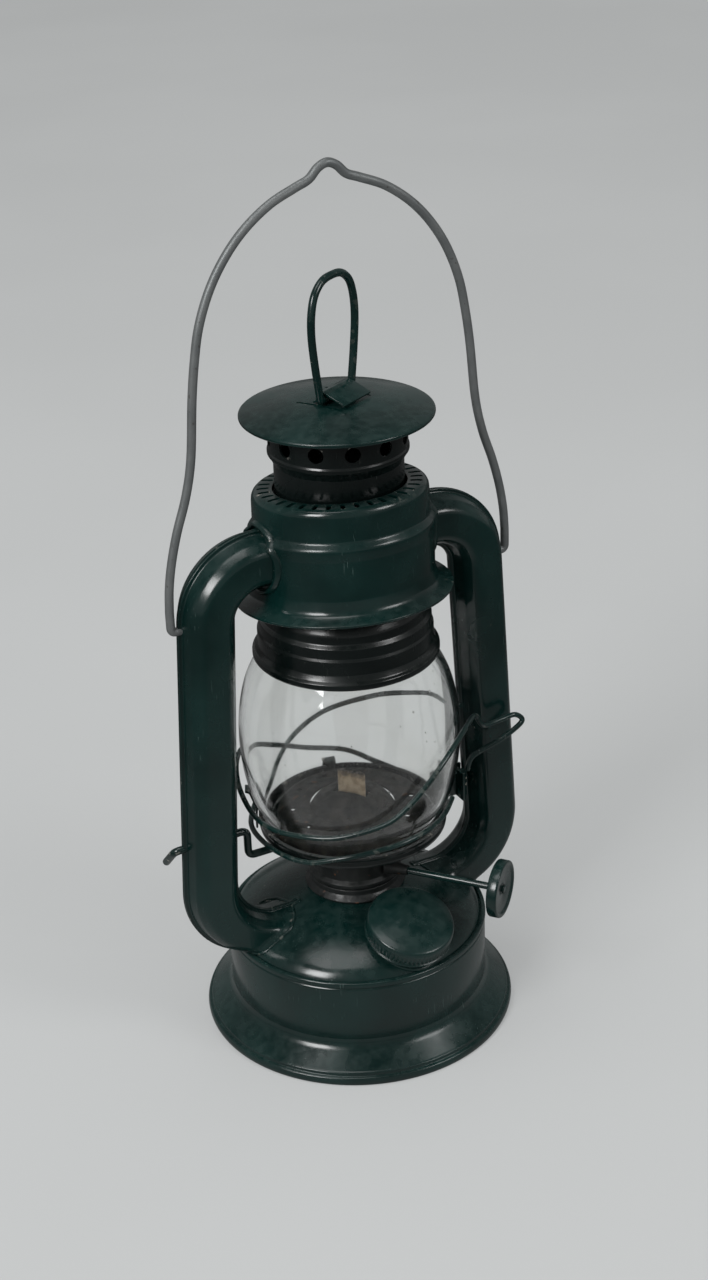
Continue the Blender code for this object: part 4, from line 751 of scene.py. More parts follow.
floor_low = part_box("fount_bottom")[0].z
floor_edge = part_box("fount_bottom")[1].x
floor_skin = bent([(0.0, floor_low + 2 * SHEET), (0.020, floor_low + 1.9 * SHEET, 0.003),
                   (0.026, floor_low + SHEET, 0.003), (floor_edge - SHEET, floor_low + SHEET, 0.001),
                   (floor_edge - SHEET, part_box("fount_bottom")[1].z)])
dressed(turned("fount_floor", sheet_section(floor_skin)), "frame", TIN, "tin", "fount_bottom")
print("Foot is", round(2000 * FOOT, 1), "mm across")

# %% [markdown]
# The canopy is the hood that gathers warm air and leads it into the tubes: a drum with a bead
# round it, a skirt that flares out below, and a ring of slots in its top. It is one turned
# outline, punched. The hood of a used lamp is knocked a little out of true, so the finished
# sheet is sheared by a few degrees: its back sits lower than its front, round an upright chimney.

# %% Canopy
CANOPY_LOW, CANOPY_TOP = (corner.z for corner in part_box("canopy"))
CANOPY_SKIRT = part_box("canopy")[1].x + GAP
CANOPY_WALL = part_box("canopy")[1].x - 0.0046
CANOPY_BROW = CANOPY_WALL - 0.0012
CROWN_DROP = 0.0028         # the worn hood's top has sunk by this
SKIRT_LIFT = 0.0015         # and its skirt is bent up
CANOPY_LEAN = math.tan(math.radians(5))
CANOPY_HEAD = CANOPY_TOP - CROWN_DROP
CANOPY_RIM = CANOPY_LOW + SKIRT_LIFT
FLARE_TOP = CANOPY_RIM + 0.0062
BEAD_HEIGHT = CANOPY_LOW + 0.0209
BEAD_HALF = 0.0016
BEAD_PROUD = 0.0005
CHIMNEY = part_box("chimney_tube")[1].x - 0.0012
canopy_skin = bent([
    (CHIMNEY + 2 * GAP, CANOPY_HEAD), (CANOPY_BROW, CANOPY_HEAD, 0.0030),
    (CANOPY_BROW + 0.0001, BEAD_HEIGHT + 1.6 * BEAD_HALF, 0.0016),
    (CANOPY_WALL + BEAD_PROUD, BEAD_HEIGHT + BEAD_HALF / 2, 0.0018),
    (CANOPY_WALL, BEAD_HEIGHT - 1.6 * BEAD_HALF, 0.0020), (CANOPY_WALL, FLARE_TOP, 0.0040),
    (CANOPY_WALL + 0.0010, CANOPY_RIM + 0.0022, 0.0030),
    (CANOPY_SKIRT - 0.0010, CANOPY_RIM + 0.0011, 0.0012), (CANOPY_SKIRT, CANOPY_RIM + 0.0007, 0.0003),
    (CANOPY_SKIRT, CANOPY_RIM)])
canopy_side = canopy_skin[6:]       # without the flat top and the bend at its brow

SLOTS = 36
SLOT_REACH = CHIMNEY + 0.0031
SLOT_SIZE, SLOT_CORNER = (0.0034, 0.0013, PUNCH_LONG), 0.0003
canopy = turned("canopy_shell", sheet_section(canopy_skin))
punched(canopy, block_punch(SLOT_SIZE, SLOT_CORNER), all_round(SLOTS, (SLOT_REACH, 0, CANOPY_HEAD)))
for corner in canopy.data.vertices:
    corner.co.z -= CANOPY_LEAN * corner.co.y
dressed(canopy, "frame", ENAMEL, "enamel", "canopy")
print("Canopy:", SLOTS, "slots,", round(2000 * CANOPY_SKIRT, 1), "mm across the skirt")

# %% [markdown]
# Each air tube is pressed as two half shells and crimped together along a flat seam, so its
# section is a D with a flange, not a circle. It runs out of the canopy, down beside the globe and
# in on to the crown. First comes the line it follows: two straights and two bends in one plane,
# with the section a little narrower at its lower end.

# %% The tube's line
SEAM = 0.0003               # open line between the two halves
TUBE_BODY = 0.0069          # half width without the flange
TUBE_FLANGE = 0.0013
TUBE_DEEP = 0.0076
TUBE_TOP = CANOPY_LOW + 0.0165
TUBE_LOW = SHOULDER + 0.0040
GLASS_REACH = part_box("globe_glass")[1].x
UPPER_X, LOWER_X = GLASS_REACH + 0.0100, GLASS_REACH + 0.0144
UPPER_BEND, LOWER_BEND = 0.0150, 0.0180
FOOT_SHARE = 0.70           # the section's width where it meets the crown
TUBE_BEND_STEPS = 24


def tube_line():
    """The tube's centre line as places, outward spokes and widths, with the length run so far."""
    drop = TUBE_TOP - UPPER_BEND - TUBE_LOW - LOWER_BEND
    lean = math.atan2(LOWER_X - UPPER_X, drop)
    line = [(Vector((MOUTH, TUBE_TOP)), Vector((0.0, 1.0)), 1.0)]
    upper = (UPPER_BEND, UPPER_X - UPPER_BEND, TUBE_TOP - UPPER_BEND, math.pi / 2, lean, 0.0)
    lower = (LOWER_BEND, LOWER_X - LOWER_BEND, TUBE_LOW + LOWER_BEND, lean, -math.pi / 2, 1 - FOOT_SHARE)
    for bend, x, z, start, end, narrowing in (upper, lower):
        for step in range(TUBE_BEND_STEPS + 1):
            share = step / TUBE_BEND_STEPS
            turn = start + (end - start) * step / TUBE_BEND_STEPS
            spoke = Vector((math.cos(turn), math.sin(turn)))
            line.append((Vector((x, z)) + spoke * bend, spoke, 1.0 - share ** 2 * narrowing))
    line.append((Vector((MOUTH, TUBE_LOW)), Vector((0.0, -1.0)), FOOT_SHARE))
    run = [0.0]
    for before, after in zip(line, line[1:]):
        run.append(run[-1] + (after[0] - before[0]).length)
    return line, run


LINE, RUN = tube_line()


def half_section():
    """The pressed half's outer side as pairs (across, out from the seam), flange to flange."""
    deep, body = TUBE_DEEP, TUBE_BODY
    edge = body + TUBE_FLANGE
    side = [(edge, SEAM / 2 + SHEET, 0.0003), (body + 0.0003, SEAM / 2 + SHEET, 0.0006),
            (0.90 * body, 0.62 * deep, 0.0030), (0.60 * body, deep, 0.0030)]
    flipped = [(-corner[0], *corner[1:]) for corner in side[::-1]]
    return bent([(edge, SEAM / 2)] + side + flipped + [(-edge, SEAM / 2)], 6)


SECTION = half_section()
print("Tube line:", round(1000 * RUN[-1], 1), "mm long, with", len(SECTION), "points in a half section")

# %% [markdown]
# Both ends of a tube have to follow the shape they meet, the canopy's flare above and the fount's
# crown below. So each line along the tube's skin is walked until it reaches them, and only the
# stretch between is meshed. A Boolean would trim it too, but this leaves clean rings.

# %% Where the tube meets the canopy and the crown
SEARCH_STEPS = 30


def tube_point(along, across, out):
    """A point of the tube's skin at a run along its line, in the XZ plane with Y outwards."""
    along = min(max(along, 0.0), RUN[-1])
    index = next(i for i in range(1, len(RUN)) if along <= RUN[i])
    share = (along - RUN[index - 1]) / (RUN[index] - RUN[index - 1])
    before, after = LINE[index - 1], LINE[index]
    middle = before[0].lerp(after[0], share)
    spoke = before[1].lerp(after[1], share).normalized()
    width = before[2] + (after[2] - before[2]) * share
    place = middle + spoke * across * width
    return Vector((place.x, out, place.y))


def meets(across, out, inside, start, end):
    """The run at which a line of the skin leaves a shape, found by halving."""
    for _ in range(SEARCH_STEPS):
        middle = (start + end) / 2
        if inside(tube_point(middle, across, out)):
            start = middle
        else:
            end = middle
    return start


def reach_on(skin, height):
    """Radius of a skin that runs downwards, at one height."""
    for above, below in zip(skin, skin[1:]):
        if below.y <= height <= above.y and above.y > below.y:
            return above.x + (below.x - above.x) * (above.y - height) / (above.y - below.y)
    return skin[-1].x


def in_canopy(point):
    return math.hypot(point.x, point.y) < reach_on(canopy_side, point.z)


def in_fount(point):
    return math.hypot(point.x, point.y) < fount_reach(point.z)


crest = max(SECTION, key=lambda pair: pair[1])
print("The tube's crest leaves the canopy after",
      round(1000 * meets(*crest, in_canopy, 0.0, RUN[-1] / 3), 1), "mm")

# %% [markdown]
# Wire is a curve with a round bevel. The path is the wire's own centre line, so bending it is only
# a matter of points. The ring, the guard, the lever, the bail and the threads of the wick use it,
# and so does solder, which lies in a joint as a round bead.

# %% Wire
def wire(name, points, thickness, cyclic=False):
    data = bpy.data.curves.new(name, "CURVE")
    data.dimensions = "3D"
    data.bevel_depth = thickness / 2
    data.bevel_resolution = 5
    data.use_fill_caps = not cyclic
    spline = data.splines.new("POLY")
    spline.points.add(len(points) - 1)
    for index, point in enumerate(points):
        spline.points[index].co = (*point, 1.0)
    spline.use_cyclic_u = cyclic
    spline.use_smooth = True
    made = bpy.data.objects.new(name, data)
    bpy.context.scene.collection.objects.link(made)
    return made


print("Wire helper ready")

# %% [markdown]
# Now the two halves of each tube are pressed: the section and its lining, a sheet's thickness
# inside it, lofted from end to end. The rims swell a little where they land, and a bead of solder
# is run round the lower end on the crown.

# %% Pressed halves and solder
TUBE_RINGS = 110
FLARE = 0.0012              # the rim swells by this where it lands
FLARE_RUN = 0.0030
TOP_FLARE_SHARE = 0.6
EMBED = 0.0003
WELD = 1e-6
SOLDER = 0.0010


def tube_half(name, side, face, stands_for):
    """One pressed half, with the points of its lower rim as the result."""
    ends = []
    for across, out in SECTION:
        start = meets(across, out, in_canopy, 0.0, RUN[-1] / 3) - EMBED
        end = meets(across, out, in_fount, RUN[-1], RUN[-1] / 2) + EMBED
        ends.append((across, out, start, end))
    shrink = (TUBE_DEEP - SHEET) / TUBE_DEEP
    rings = []
    for step in range(TUBE_RINGS + 1):
        share = step / TUBE_RINGS
        skin, lining = [], []
        for across, out, start, end in ends:
            along = start + (end - start) * share
            near_low = max(0.0, 1 - (end - along) / FLARE_RUN)
            near_top = max(0.0, 1 - (along - start) / FLARE_RUN)
            swell = FLARE * max(near_low, TOP_FLARE_SHARE * near_top) ** 2 * (out / TUBE_DEEP)
            point = tube_point(along, across, out + swell)
            inner = tube_point(along, across * shrink, SEAM / 2 + (out - SEAM / 2) * shrink)
            if abs(across) > TUBE_BODY and out < 2 * SHEET:
                inner = tube_point(along, across, SEAM / 2)
            skin.append(Vector((side * point.x, face * point.y, point.z)))
            lining.append(Vector((side * inner.x, face * inner.y, inner.z)))
        rings.append(skin + lining[::-1])
    dressed(lofted(name, rings, WELD), "frame", ENAMEL, "enamel", stands_for)
    return rings[-1][:len(SECTION)]


for side, label in ((-1, "left"), (1, "right")):
    front = tube_half("air_tube_" + label + "_front", side, -1, "tube_" + label + "_front")
    back = tube_half("air_tube_" + label + "_back", side, 1, "tube_" + label + "_back")
    solder = wire("solder_" + label, front + back[::-1], SOLDER, cyclic=True)
    dressed(solder, "frame", ENAMEL, "enamel")
print("Tube halves:", TUBE_RINGS + 1, "rings each")

# %% [markdown]
# Where a tube enters the canopy it passes a swaged ring, pressed to the canopy's curve.
# The ring is round seen along the tube, so it is lofted from circles, and each point of a circle
# is pushed out from the canopy's own surface. That way the ring sits on the wall all round.

# %% Swaged rings at the canopy
RING_STEPS = 96
RING_OUTER, RING_INNER, RING_PROUD = 0.0100, 0.0084, 0.0013
ring_section = bent([
    (RING_OUTER, -EMBED), (RING_OUTER, 0.0004, 0.0006), (RING_OUTER - 0.0007, RING_PROUD, 0.0008),
    (RING_INNER, RING_PROUD - 0.0004, 0.0006), (RING_INNER, -EMBED)], 4)


def swaged_ring(name, side, stands_for):
    bm = bmesh.new()
    rows = []
    for radius, out in ring_section:
        row = []
        for step in range(RING_STEPS):
            turn = math.tau * step / RING_STEPS
            y, z = radius * math.cos(turn), TUBE_TOP + radius * math.sin(turn)
            wall = math.sqrt(reach_on(canopy_skin, z) ** 2 - y ** 2)
            row.append(bm.verts.new((side * (wall + out), y, z)))
        rows.append(row)
    for inner, outer in zip(rows, rows[1:] + rows[:1]):
        for step in range(RING_STEPS):
            after = (step + 1) % RING_STEPS
            bm.faces.new((inner[step], inner[after], outer[after], outer[step]))
    return dressed(made_object(name, bm), "frame", ENAMEL, "enamel", stands_for)


for side, label in ((-1, "left"), (1, "right")):
    swaged_ring("swaged_ring_" + label, side, "tube_collar_" + label)
print("Rings:", RING_STEPS, "steps each")

# %% [markdown]
# The chimney slides through the canopy: a tube with a wider neck and a row of round exhaust
# holes. A sleeve inside the canopy guides it. The cap above it and the bell at its foot are fixed
# to it and rise with it when the ring is pulled, so all of them ride on the chimney's body.

# %% Chimney and its sleeve
CHIMNEY_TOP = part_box("chimney_tube")[1].z
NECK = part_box("chimney_tube")[1].x
NECK_FOOT = CANOPY_TOP + 0.0043
BELL_LOW, BELL_COLLAR_TOP = (corner.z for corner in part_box("bell"))
chimney_skin = bent([
    (NECK, CHIMNEY_TOP), (NECK, NECK_FOOT + 0.0040, 0.0006), (NECK + 0.0003, NECK_FOOT + 0.0034, 0.0005),
    (NECK + 0.0003, NECK_FOOT + 0.0026, 0.0005), (NECK - 0.0004, NECK_FOOT + 0.0016, 0.0007),
    (CHIMNEY, NECK_FOOT, 0.0008), (CHIMNEY, CANOPY_LOW + 0.0021)])
chimney = turned("chimney_pipe", sheet_section(chimney_skin))
EXHAUST_HOLES = 12
EXHAUST_RADIUS = 0.0021
EXHAUST_HEIGHT = CANOPY_TOP + 0.0116
exhausts = all_round(EXHAUST_HOLES, (NECK, 0, EXHAUST_HEIGHT), ON_ITS_SIDE)
punched(chimney, round_punch(EXHAUST_RADIUS), exhausts)
dressed(chimney, "chimney", DULLED, "black", "chimney_tube")

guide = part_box("chimney_guide")
guide_top = guide[1].z - CROWN_DROP - CANOPY_LEAN * CHIMNEY
guide_skin = bent([(CHIMNEY + GAP + SHEET, guide_top), (CHIMNEY + GAP + SHEET, guide[0].z + 0.001),
                   (CHIMNEY + GAP + 2 * SHEET, guide[0].z)])
dressed(turned("chimney_sleeve", sheet_section(guide_skin)), "frame", DULLED, "black", "chimney_guide")
print("Chimney:", EXHAUST_HOLES, "exhaust holes,", round(2000 * NECK, 1), "mm across its neck")

# %% [markdown]
# The weather cap is a shallow dome spun from one disc, with its rim curled in. On top of it the
# lift ring is held by a tongue of the same sheet, and the sheet is lanced on both sides of it, so
# two narrow slots are punched beside the place of the ring.

# %% Weather cap
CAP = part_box("chimney_cap")[1].x
CAP_LOW, CAP_CROWN = (corner.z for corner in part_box("chimney_cap"))
CAP_RIM = CAP_LOW + 0.0012
CAP_STEPS = 16
CAP_SLOPE = CAP - 0.0006    # the dome goes over into the curl here


def cap_height(reach):
    return CAP_RIM + (CAP_CROWN - CAP_RIM) * (1 - (reach / CAP) ** 2)


cap_reaches = [(CAP - 0.0008) * step / CAP_STEPS for step in range(CAP_STEPS + 1)]
cap_skin = [Vector((reach, cap_height(reach))) for reach in cap_reaches]
cap_skin += bent([(CAP_SLOPE, cap_height(CAP_SLOPE)), (CAP, CAP_RIM - 0.0001, 0.0006),
                  (CAP, CAP_LOW + 0.0003, 0.0005), (CAP - 0.0007, CAP_LOW)])
cap = turned("weather_cap", sheet_section(cap_skin))
RING_TURN = math.radians(29)
LANCE = 0.0066              # from the ring's middle out to each lanced slot
LANCE_SIZE, LANCE_CORNER = (0.0008, 0.0146, PUNCH_LONG), 0.0003
lances = [Matrix.Rotation(RING_TURN, 4, "Z") @ Matrix.Translation((side * LANCE, 0.0008, CAP_CROWN))
          for side in (-1, 1)]
punched(cap, block_punch(LANCE_SIZE, LANCE_CORNER), lances)
dressed(cap, "chimney", ENAMEL, "enamel", "chimney_cap")
print("Cap:", round(2000 * CAP, 1), "mm across,", round(1000 * (CAP_CROWN - CAP_RIM), 1), "mm high")

# %% [markdown]
# The ring that lifts the chimney is one bent wire, and its foot turns under a small bridge of the
# cap's own sheet. The bridge is a bent strip. The ring is drawn through a few points as a smooth
# line, which is how wire springs from one bend to the next.

# %% Bridge and lift ring
RING_WIRE = 0.0021
ring_low, ring_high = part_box("lift_ring")
RING_SEAT = ring_low.z + RING_WIRE / 2
RING_HALF = 0.0099
RING_TALL = ring_high.z - RING_SEAT - RING_WIRE / 2
RING_SHARES = (
    (0.78, 0.09), (0.90, 0.30), (1.00, 0.55), (0.97, 0.74), (0.80, 0.89), (0.45, 0.98), (0.00, 1.00))
RING_FOOT = 0.0072          # half the width at its foot
ring_frame = Matrix.Translation((0, 0, RING_SEAT)) @ Matrix.Rotation(RING_TURN, 4, "Z")


def smooth(points, steps):
    """Points on a springy line through the given ones."""
    points = [Vector(point) for point in points]
    last = len(points) - 1
    made = []
    for span in range(last):
        a, b, c, d = (points[min(max(index, 0), last)] for index in range(span - 1, span + 3))
        for step in range(steps):
            t = step / steps
            made.append(0.5 * (2 * b + (c - a) * t + (2 * a - 5 * b + 4 * c - d) * t ** 2
                               + (3 * b - a - 3 * c + d) * t ** 3))
    return made + [points[-1]]


def other_side(points):
    """The mirrored way back of a line that ends in its middle, without the middle itself."""
    return [(-x, y, z) for x, y, z in points[-2::-1]]


half = [(share * RING_HALF, 0.0, high * RING_TALL) for share, high in RING_SHARES]
arch = smooth([(RING_FOOT, 0, 0)] + half + other_side(half) + [(-RING_FOOT, 0, 0)], 8)
ring_points = [(RING_FOOT / 2, 0, 0)] + [tuple(point) for point in arch] + [(-RING_FOOT / 2, 0, 0)]
ring_points = [ring_frame @ Vector(point) for point in ring_points]
lift_loop = wire("lift_loop", ring_points, RING_WIRE, cyclic=True)
dressed(lift_loop, "lift_ring", ENAMEL, "enamel", "lift_ring")

TONGUE = 0.0068             # how far its free edge stands out from the ring's foot
BRIDGE_LONG, BRIDGE_TOE = 0.0124, 0.0032
foot_height = cap_height(BRIDGE_TOE) - RING_SEAT + SHEET
clear = RING_WIRE / 2 + GAP
bridge_skin = bent([
    (-TONGUE, foot_height + 0.0004), (-clear, clear + SHEET - 0.0003, 0.0010),
    (0.0, clear + SHEET, 0.0010), (clear + SHEET, clear, 0.0008),
    (clear + SHEET + 0.0003, foot_height + 0.0003, 0.0005), (BRIDGE_TOE, foot_height)])
bridge = strip("ring_bridge", sheet_section(bridge_skin), BRIDGE_LONG,
               ring_frame @ Matrix.Rotation(math.pi / 2, 4, "Z"))
dressed(softened(bridge), "chimney", THICK_ENAMEL, "enamel", "cap_bridge")
print("Lift ring stands", round(1000 * RING_TALL, 1), "mm")

# %% [markdown]
# The bell is the black hood that settles on the globe. Its ring is rolled in three steps, which
# the photograph shows as three thin lines of light, one above the other. Each step is a corner
# of the turned outline with a small bend radius, so that each catches its own line.

# %% Bell and its seat
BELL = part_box("bell")[1].x
BODY = BELL - 0.0020
BELL_TOP = BELL_COLLAR_TOP - 0.0034
COLLAR = CHIMNEY + GAP + SHEET
bell_skin = bent([
    (COLLAR, BELL_COLLAR_TOP), (COLLAR, BELL_TOP, 0.0012), (BODY - 0.0030, BELL_TOP - 0.0010, 0.0030),
    (BODY - 0.0012, BELL_TOP - 0.0042, 0.0030), (BODY - 0.0010, BELL_LOW + 0.0125, 0.0010),
    (BODY - 0.0001, BELL_LOW + 0.0115, 0.0006), (BODY, BELL_LOW + 0.0088, 0.0006),
    (BODY + 0.0004, BELL_LOW + 0.0080, 0.0004), (BODY + 0.0004, BELL_LOW + 0.0042, 0.0014),
    (BELL - 0.0008, BELL_LOW + 0.0026, 0.0010), (BELL, BELL_LOW + 0.0020, 0.0006),
    (BELL, BELL_LOW + 0.0007, 0.0004), (BELL - 0.0006, BELL_LOW)])
dressed(turned("bell_hood", sheet_section(bell_skin)), "chimney", DULLED, "black", "bell")
seat_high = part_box("bell_seat")[1]
seat_skin = bent([(CHIMNEY + 0.0017, seat_high.z + 0.0004), (CHIMNEY + 0.0022, seat_high.z, 0.0005),
                  (seat_high.x, seat_high.z)])
dressed(turned("globe_seat", sheet_section(seat_skin)), "chimney", SOOTY, "soot", "bell_seat")
print("Bell ring:", round(2000 * BELL, 1), "mm across")

# %% [markdown]
# The globe is blown into a mould, so its outline swells and draws in with no corner anywhere.
# A few chosen points are joined by a smooth curve before turning. The wall has its real
# thickness: with a single skin, glass would not bend the view at the sides.

# %% Globe
GLASS_LOW, GLASS_TOP = (corner.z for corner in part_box("globe_glass"))
GLASS_TALL = GLASS_TOP - GLASS_LOW
GLASS_WALL = 0.0016
GLASS_SHARES = (
    (0.742, 1.00), (0.785, 0.955), (0.835, 0.90), (0.920, 0.80), (0.975, 0.68), (1.000, 0.54),
    (0.991, 0.39), (0.950, 0.25), (0.890, 0.14), (0.835, 0.06), (0.819, 0.00))
globe_skin = [(share * GLASS_REACH, 0.0, GLASS_LOW + high * GLASS_TALL) for share, high in GLASS_SHARES]
globe_skin = [Vector((point.x, point.z)) for point in smooth(globe_skin, 6)]
globe = turned("glass_globe", sheet_section(globe_skin, GLASS_WALL, 8))
dressed(globe, "globe_carrier", GLASS, "glass", "globe_glass")
print("Globe:", round(2000 * GLASS_REACH, 1), "by", round(1000 * GLASS_TALL, 1), "mm")

# %% [markdown]
# The plate under the globe is a shallow dish with a raised disc, pierced so that the flame can
# draw air, and a beaded wall round its rim. Its middle is black with soot up to the wall, so the
# faces of the disc take a second finish.

# %% Globe plate
PLATE_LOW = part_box("globe_plate")[0].z
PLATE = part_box("globe_plate")[1].x
PLATE_WALL = PLATE_LOW + 0.0036
DISC = PLATE - 0.0045
DISC_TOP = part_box("globe_plate")[1].z
HOLE = 0.94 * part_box("burner_cone")[1].x
plate_skin = bent([
    (HOLE, DISC_TOP), (0.88 * DISC, DISC_TOP - 0.0003, 0.0015),
    (0.975 * DISC, DISC_TOP - 0.0018, 0.0015), (DISC, PLATE_LOW + SHEET, 0.0008),
    (PLATE - 2.2 * SHEET, PLATE_LOW + SHEET, 0.0006), (PLATE - 2 * SHEET, PLATE_WALL)])
plate_outer = bent([
    (PLATE, PLATE_WALL), (PLATE, PLATE_WALL - 0.0006, 0.0003),
    (PLATE - 0.0004, PLATE_LOW + 0.0021, 0.0005), (PLATE - 0.0001, PLATE_LOW + 0.0012, 0.0005),
    (PLATE - 0.0003, PLATE_LOW + 0.0003, 0.0005), (PLATE - 0.0010, PLATE_LOW, 0.0004),
    (DISC - SHEET, PLATE_LOW, 0.0006)])
plate_under = [Vector((point.x - SHEET, point.y - SHEET)) for point in plate_skin[::-1]
               if HOLE + SHEET < point.x < 0.985 * DISC]
plate_edge = [Vector((HOLE, DISC_TOP - SHEET))]
plate = turned("globe_plate_dish", plate_skin + plate_outer + plate_under + plate_edge)
PLATE_HOLES = 10
PLATE_HOLE_RADIUS, PLATE_PUNCH_LONG = 0.0008, 0.005
punched(plate, round_punch(PLATE_HOLE_RADIUS, PLATE_PUNCH_LONG),
        all_round(PLATE_HOLES, ((HOLE + DISC) / 2, 0, DISC_TOP)))
dressed(plate, "globe_carrier", DULLED, "enamel", "globe_plate")
plate.data.materials.append(SOOTY)
for face in plate.data.polygons:
    if math.hypot(face.center.x, face.center.y) < DISC:
        face.material_index = 1
print("Plate:", PLATE_HOLES, "holes,", round(2000 * PLATE, 1), "mm across")

# %% [markdown]
# Three clips of sheet stand on the plate's wall and hold the glass. Each is a strip whose path is
# read from the globe's own outline, a little outside it, and ends in a lip that is bent away.

# %% Clips
CLIPS = {"left": (155, 0.0115), "back": (78, 0.0046), "right": (-16, 0.0115)}   # degrees, height
CLIP_WIDE, CLIP_OFF, CLIP_LIP = 0.0040, 0.0008, 0.0012
CLIP_BEND = 0.001
for label, (turn, clip_tall) in CLIPS.items():
    stations = [(PLATE + GAP + SHEET, PLATE_LOW), (PLATE + GAP + SHEET, PLATE_WALL + GAP, CLIP_BEND)]
    rise = PLATE_LOW + clip_tall - PLATE_WALL - GAP
    for share in (0.35, 0.70, 1.0):
        height = PLATE_WALL + GAP + share * rise
        reach = max(reach_on(globe_skin, height), PLATE - SHEET) + CLIP_OFF
        stations.append((reach, height, CLIP_BEND))
    stations.append((stations[-1][0] + CLIP_LIP, stations[-1][1] + GAP))
    stations.reverse()
    clip = strip("globe_clip_" + label, sheet_section(bent(stations)), CLIP_WIDE,
                 Matrix.Rotation(math.radians(turn), 4, "Z"))
    dressed(softened(clip), "globe_carrier", ENAMEL, "enamel", "globe_prong_" + label)
print("Clips:", ", ".join(CLIPS))

# %% [markdown]
# An arm of thicker sheet, with a fork at its end, reaches from the plate to the right tube. The
# fork runs on the tube's seam and keeps the rising globe from turning. Its plan is cut flat, so
# one face is drawn and lifted to the sheet's thickness.

# %% Guide fork
strap_low, strap_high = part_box("guide_strap")
STRAP_SHEET = 0.0008
STRAP_SHEARED = 0.00015
FORK_BACK, FORK_SLOT = strap_high.x - 0.0028, strap_high.x - 0.0020
FORK_OUTER, FORK_INNER = 0.0021, 0.0013
fork_half = [
    (strap_low.x, STRAP_SHEET / 2), (FORK_BACK, STRAP_SHEET / 2), (FORK_BACK, strap_high.y),
    (FORK_SLOT, strap_high.y), (FORK_SLOT, FORK_OUTER), (strap_high.x, FORK_OUTER),
    (strap_high.x, FORK_INNER), (FORK_SLOT, FORK_INNER)]
fork_plan = [(x, -y) for x, y in fork_half] + fork_half[::-1]
bm = bmesh.new()
fork_face = bm.faces.new([bm.verts.new((x, y, strap_low.z)) for x, y in fork_plan])
lifted = bmesh.ops.extrude_face_region(bm, geom=[fork_face])["geom"]
lifted = [item for item in lifted if isinstance(item, bmesh.types.BMVert)]
bmesh.ops.translate(bm, verts=lifted, vec=(0, 0, strap_high.z - strap_low.z))
fork = made_object("guide_fork", bm)
dressed(softened(fork, STRAP_SHEARED), "globe_carrier", ENAMEL, "enamel", "guide_strap")
print("Fork arm:", round(1000 * (strap_high.x - strap_low.x), 1), "mm")

# %% [markdown]
# Two wires cross round the globe to guard it, and the front one ends in a loop for the finger.
# The wires are laid down as points in degrees round the globe, share of its height and layer,
# because two wires that cross have to pass over each other and not through. Between the points
# they spring in a smooth line.

# %% Guard wires
GUARD_WIRE, GUARD_LAYER = 0.0015, 0.0018
FRONT_GUARD = (              # turn in degrees, share of the globe's height, layer
    (31, 0.016, 0), (48, 0.045, 0.2), (67, 0.095, 1), (90, 0.140, 1), (113, 0.240, 0),
    (135, 0.335, 0), (155, 0.360, 0.3), (168, 0.285, 0.9), (180, 0.190, 0.9), (195, 0.165, 0.6),
    (215, 0.180, 0.2), (236, 0.200, 0), (260, 0.262, 0), (273, 0.340, 0), (285, 0.430, 0),
    (300, 0.512, 0), (317, 0.555, 0.4))
BACK_GUARD = (
    (-12, 0.530, 0.5), (9, 0.500, 0.5), (23, 0.465, 0.6), (47, 0.395, 0.8), (71, 0.325, 1.1),
    (85, 0.262, 1.7), (98, 0.190, 2.1), (111, 0.115, 1.8), (125, 0.050, 0.8), (140, 0.016, 0.7),
    (160, 0.010, 0.7), (180, 0.010, 0.2), (200, 0.010, 0), (217, 0.018, 0), (232, 0.055, 0),
    (247, 0.080, 0), (270, 0.100, 0), (290, 0.110, 0), (308, 0.120, 0), (322, 0.150, 0))
LOOP_ROOT, LOOP_TIP = GLASS_REACH + 2 * GUARD_LAYER, LOWER_X + 0.0039
LOOP_Y, LOOP_HEIGHT, LOOP_HALF = -0.0122, PLATE_LOW + 0.0242, 0.0026
LOOP_SHARES = (              # way out from root to tip, share of the loop's Y, height in half loops
    (-0.19, 1.22, 2.9), (-0.02, 1.18, 1.6), (0.14, 1.08, 0.9), (0.53, 1.00, 0.85), (0.83, 1.00, 0.95),
    (1.00, 1.00, 0.0), (0.80, 1.00, -0.9), (0.46, 1.00, -1.7), (-0.12, 1.00, -2.7), (-0.24, 0.98, -4.3))


def guard_place(turn, share, layer):
    height = GLASS_LOW + share * GLASS_TALL
    reach = max(reach_on(globe_skin, height), PLATE) + GAP + GUARD_WIRE / 2 + layer * GUARD_LAYER
    turn = math.radians(turn)
    return (reach * math.cos(turn), reach * math.sin(turn), height)


loop = [(LOOP_ROOT + out * (LOOP_TIP - LOOP_ROOT), side * LOOP_Y, LOOP_HEIGHT + high * LOOP_HALF)
        for out, side, high in LOOP_SHARES]
front_points = smooth([guard_place(*row) for row in FRONT_GUARD] + loop, 8)
back_points = smooth([guard_place(*row) for row in BACK_GUARD], 8)
for label, points in (("front", front_points), ("back", back_points)):
    guard = wire("guard_" + label, points, GUARD_WIRE)
    dressed(guard, "globe_carrier", ENAMEL, "enamel", "guard_wire_" + label)
print("Guard wires have", len(front_points), "and", len(back_points), "points")

# %% [markdown]
# The lever is a crank of the same painted wire: its outer arm is the thumb piece, its shaft runs
# through the left tube, and its inner end lies under the plate. Bent wire has a real bend radius,
# so the corners are rounded in the path before the wire gets its thickness.

# %% Lever
LEVER_WIRE = 0.0022
LEVER_HEIGHT = PLATE_LOW + 0.0069
LEVER_ARM = 0.0100 * math.sqrt(0.5)
LEVER_THROW = LEVER_HEIGHT - (PLATE_LOW - GAP - LEVER_WIRE / 2)
LEVER_BEND = 0.0021
LEVER_OUT, LEVER_IN = -LOWER_X - 0.0097, -LOWER_X + 0.0122


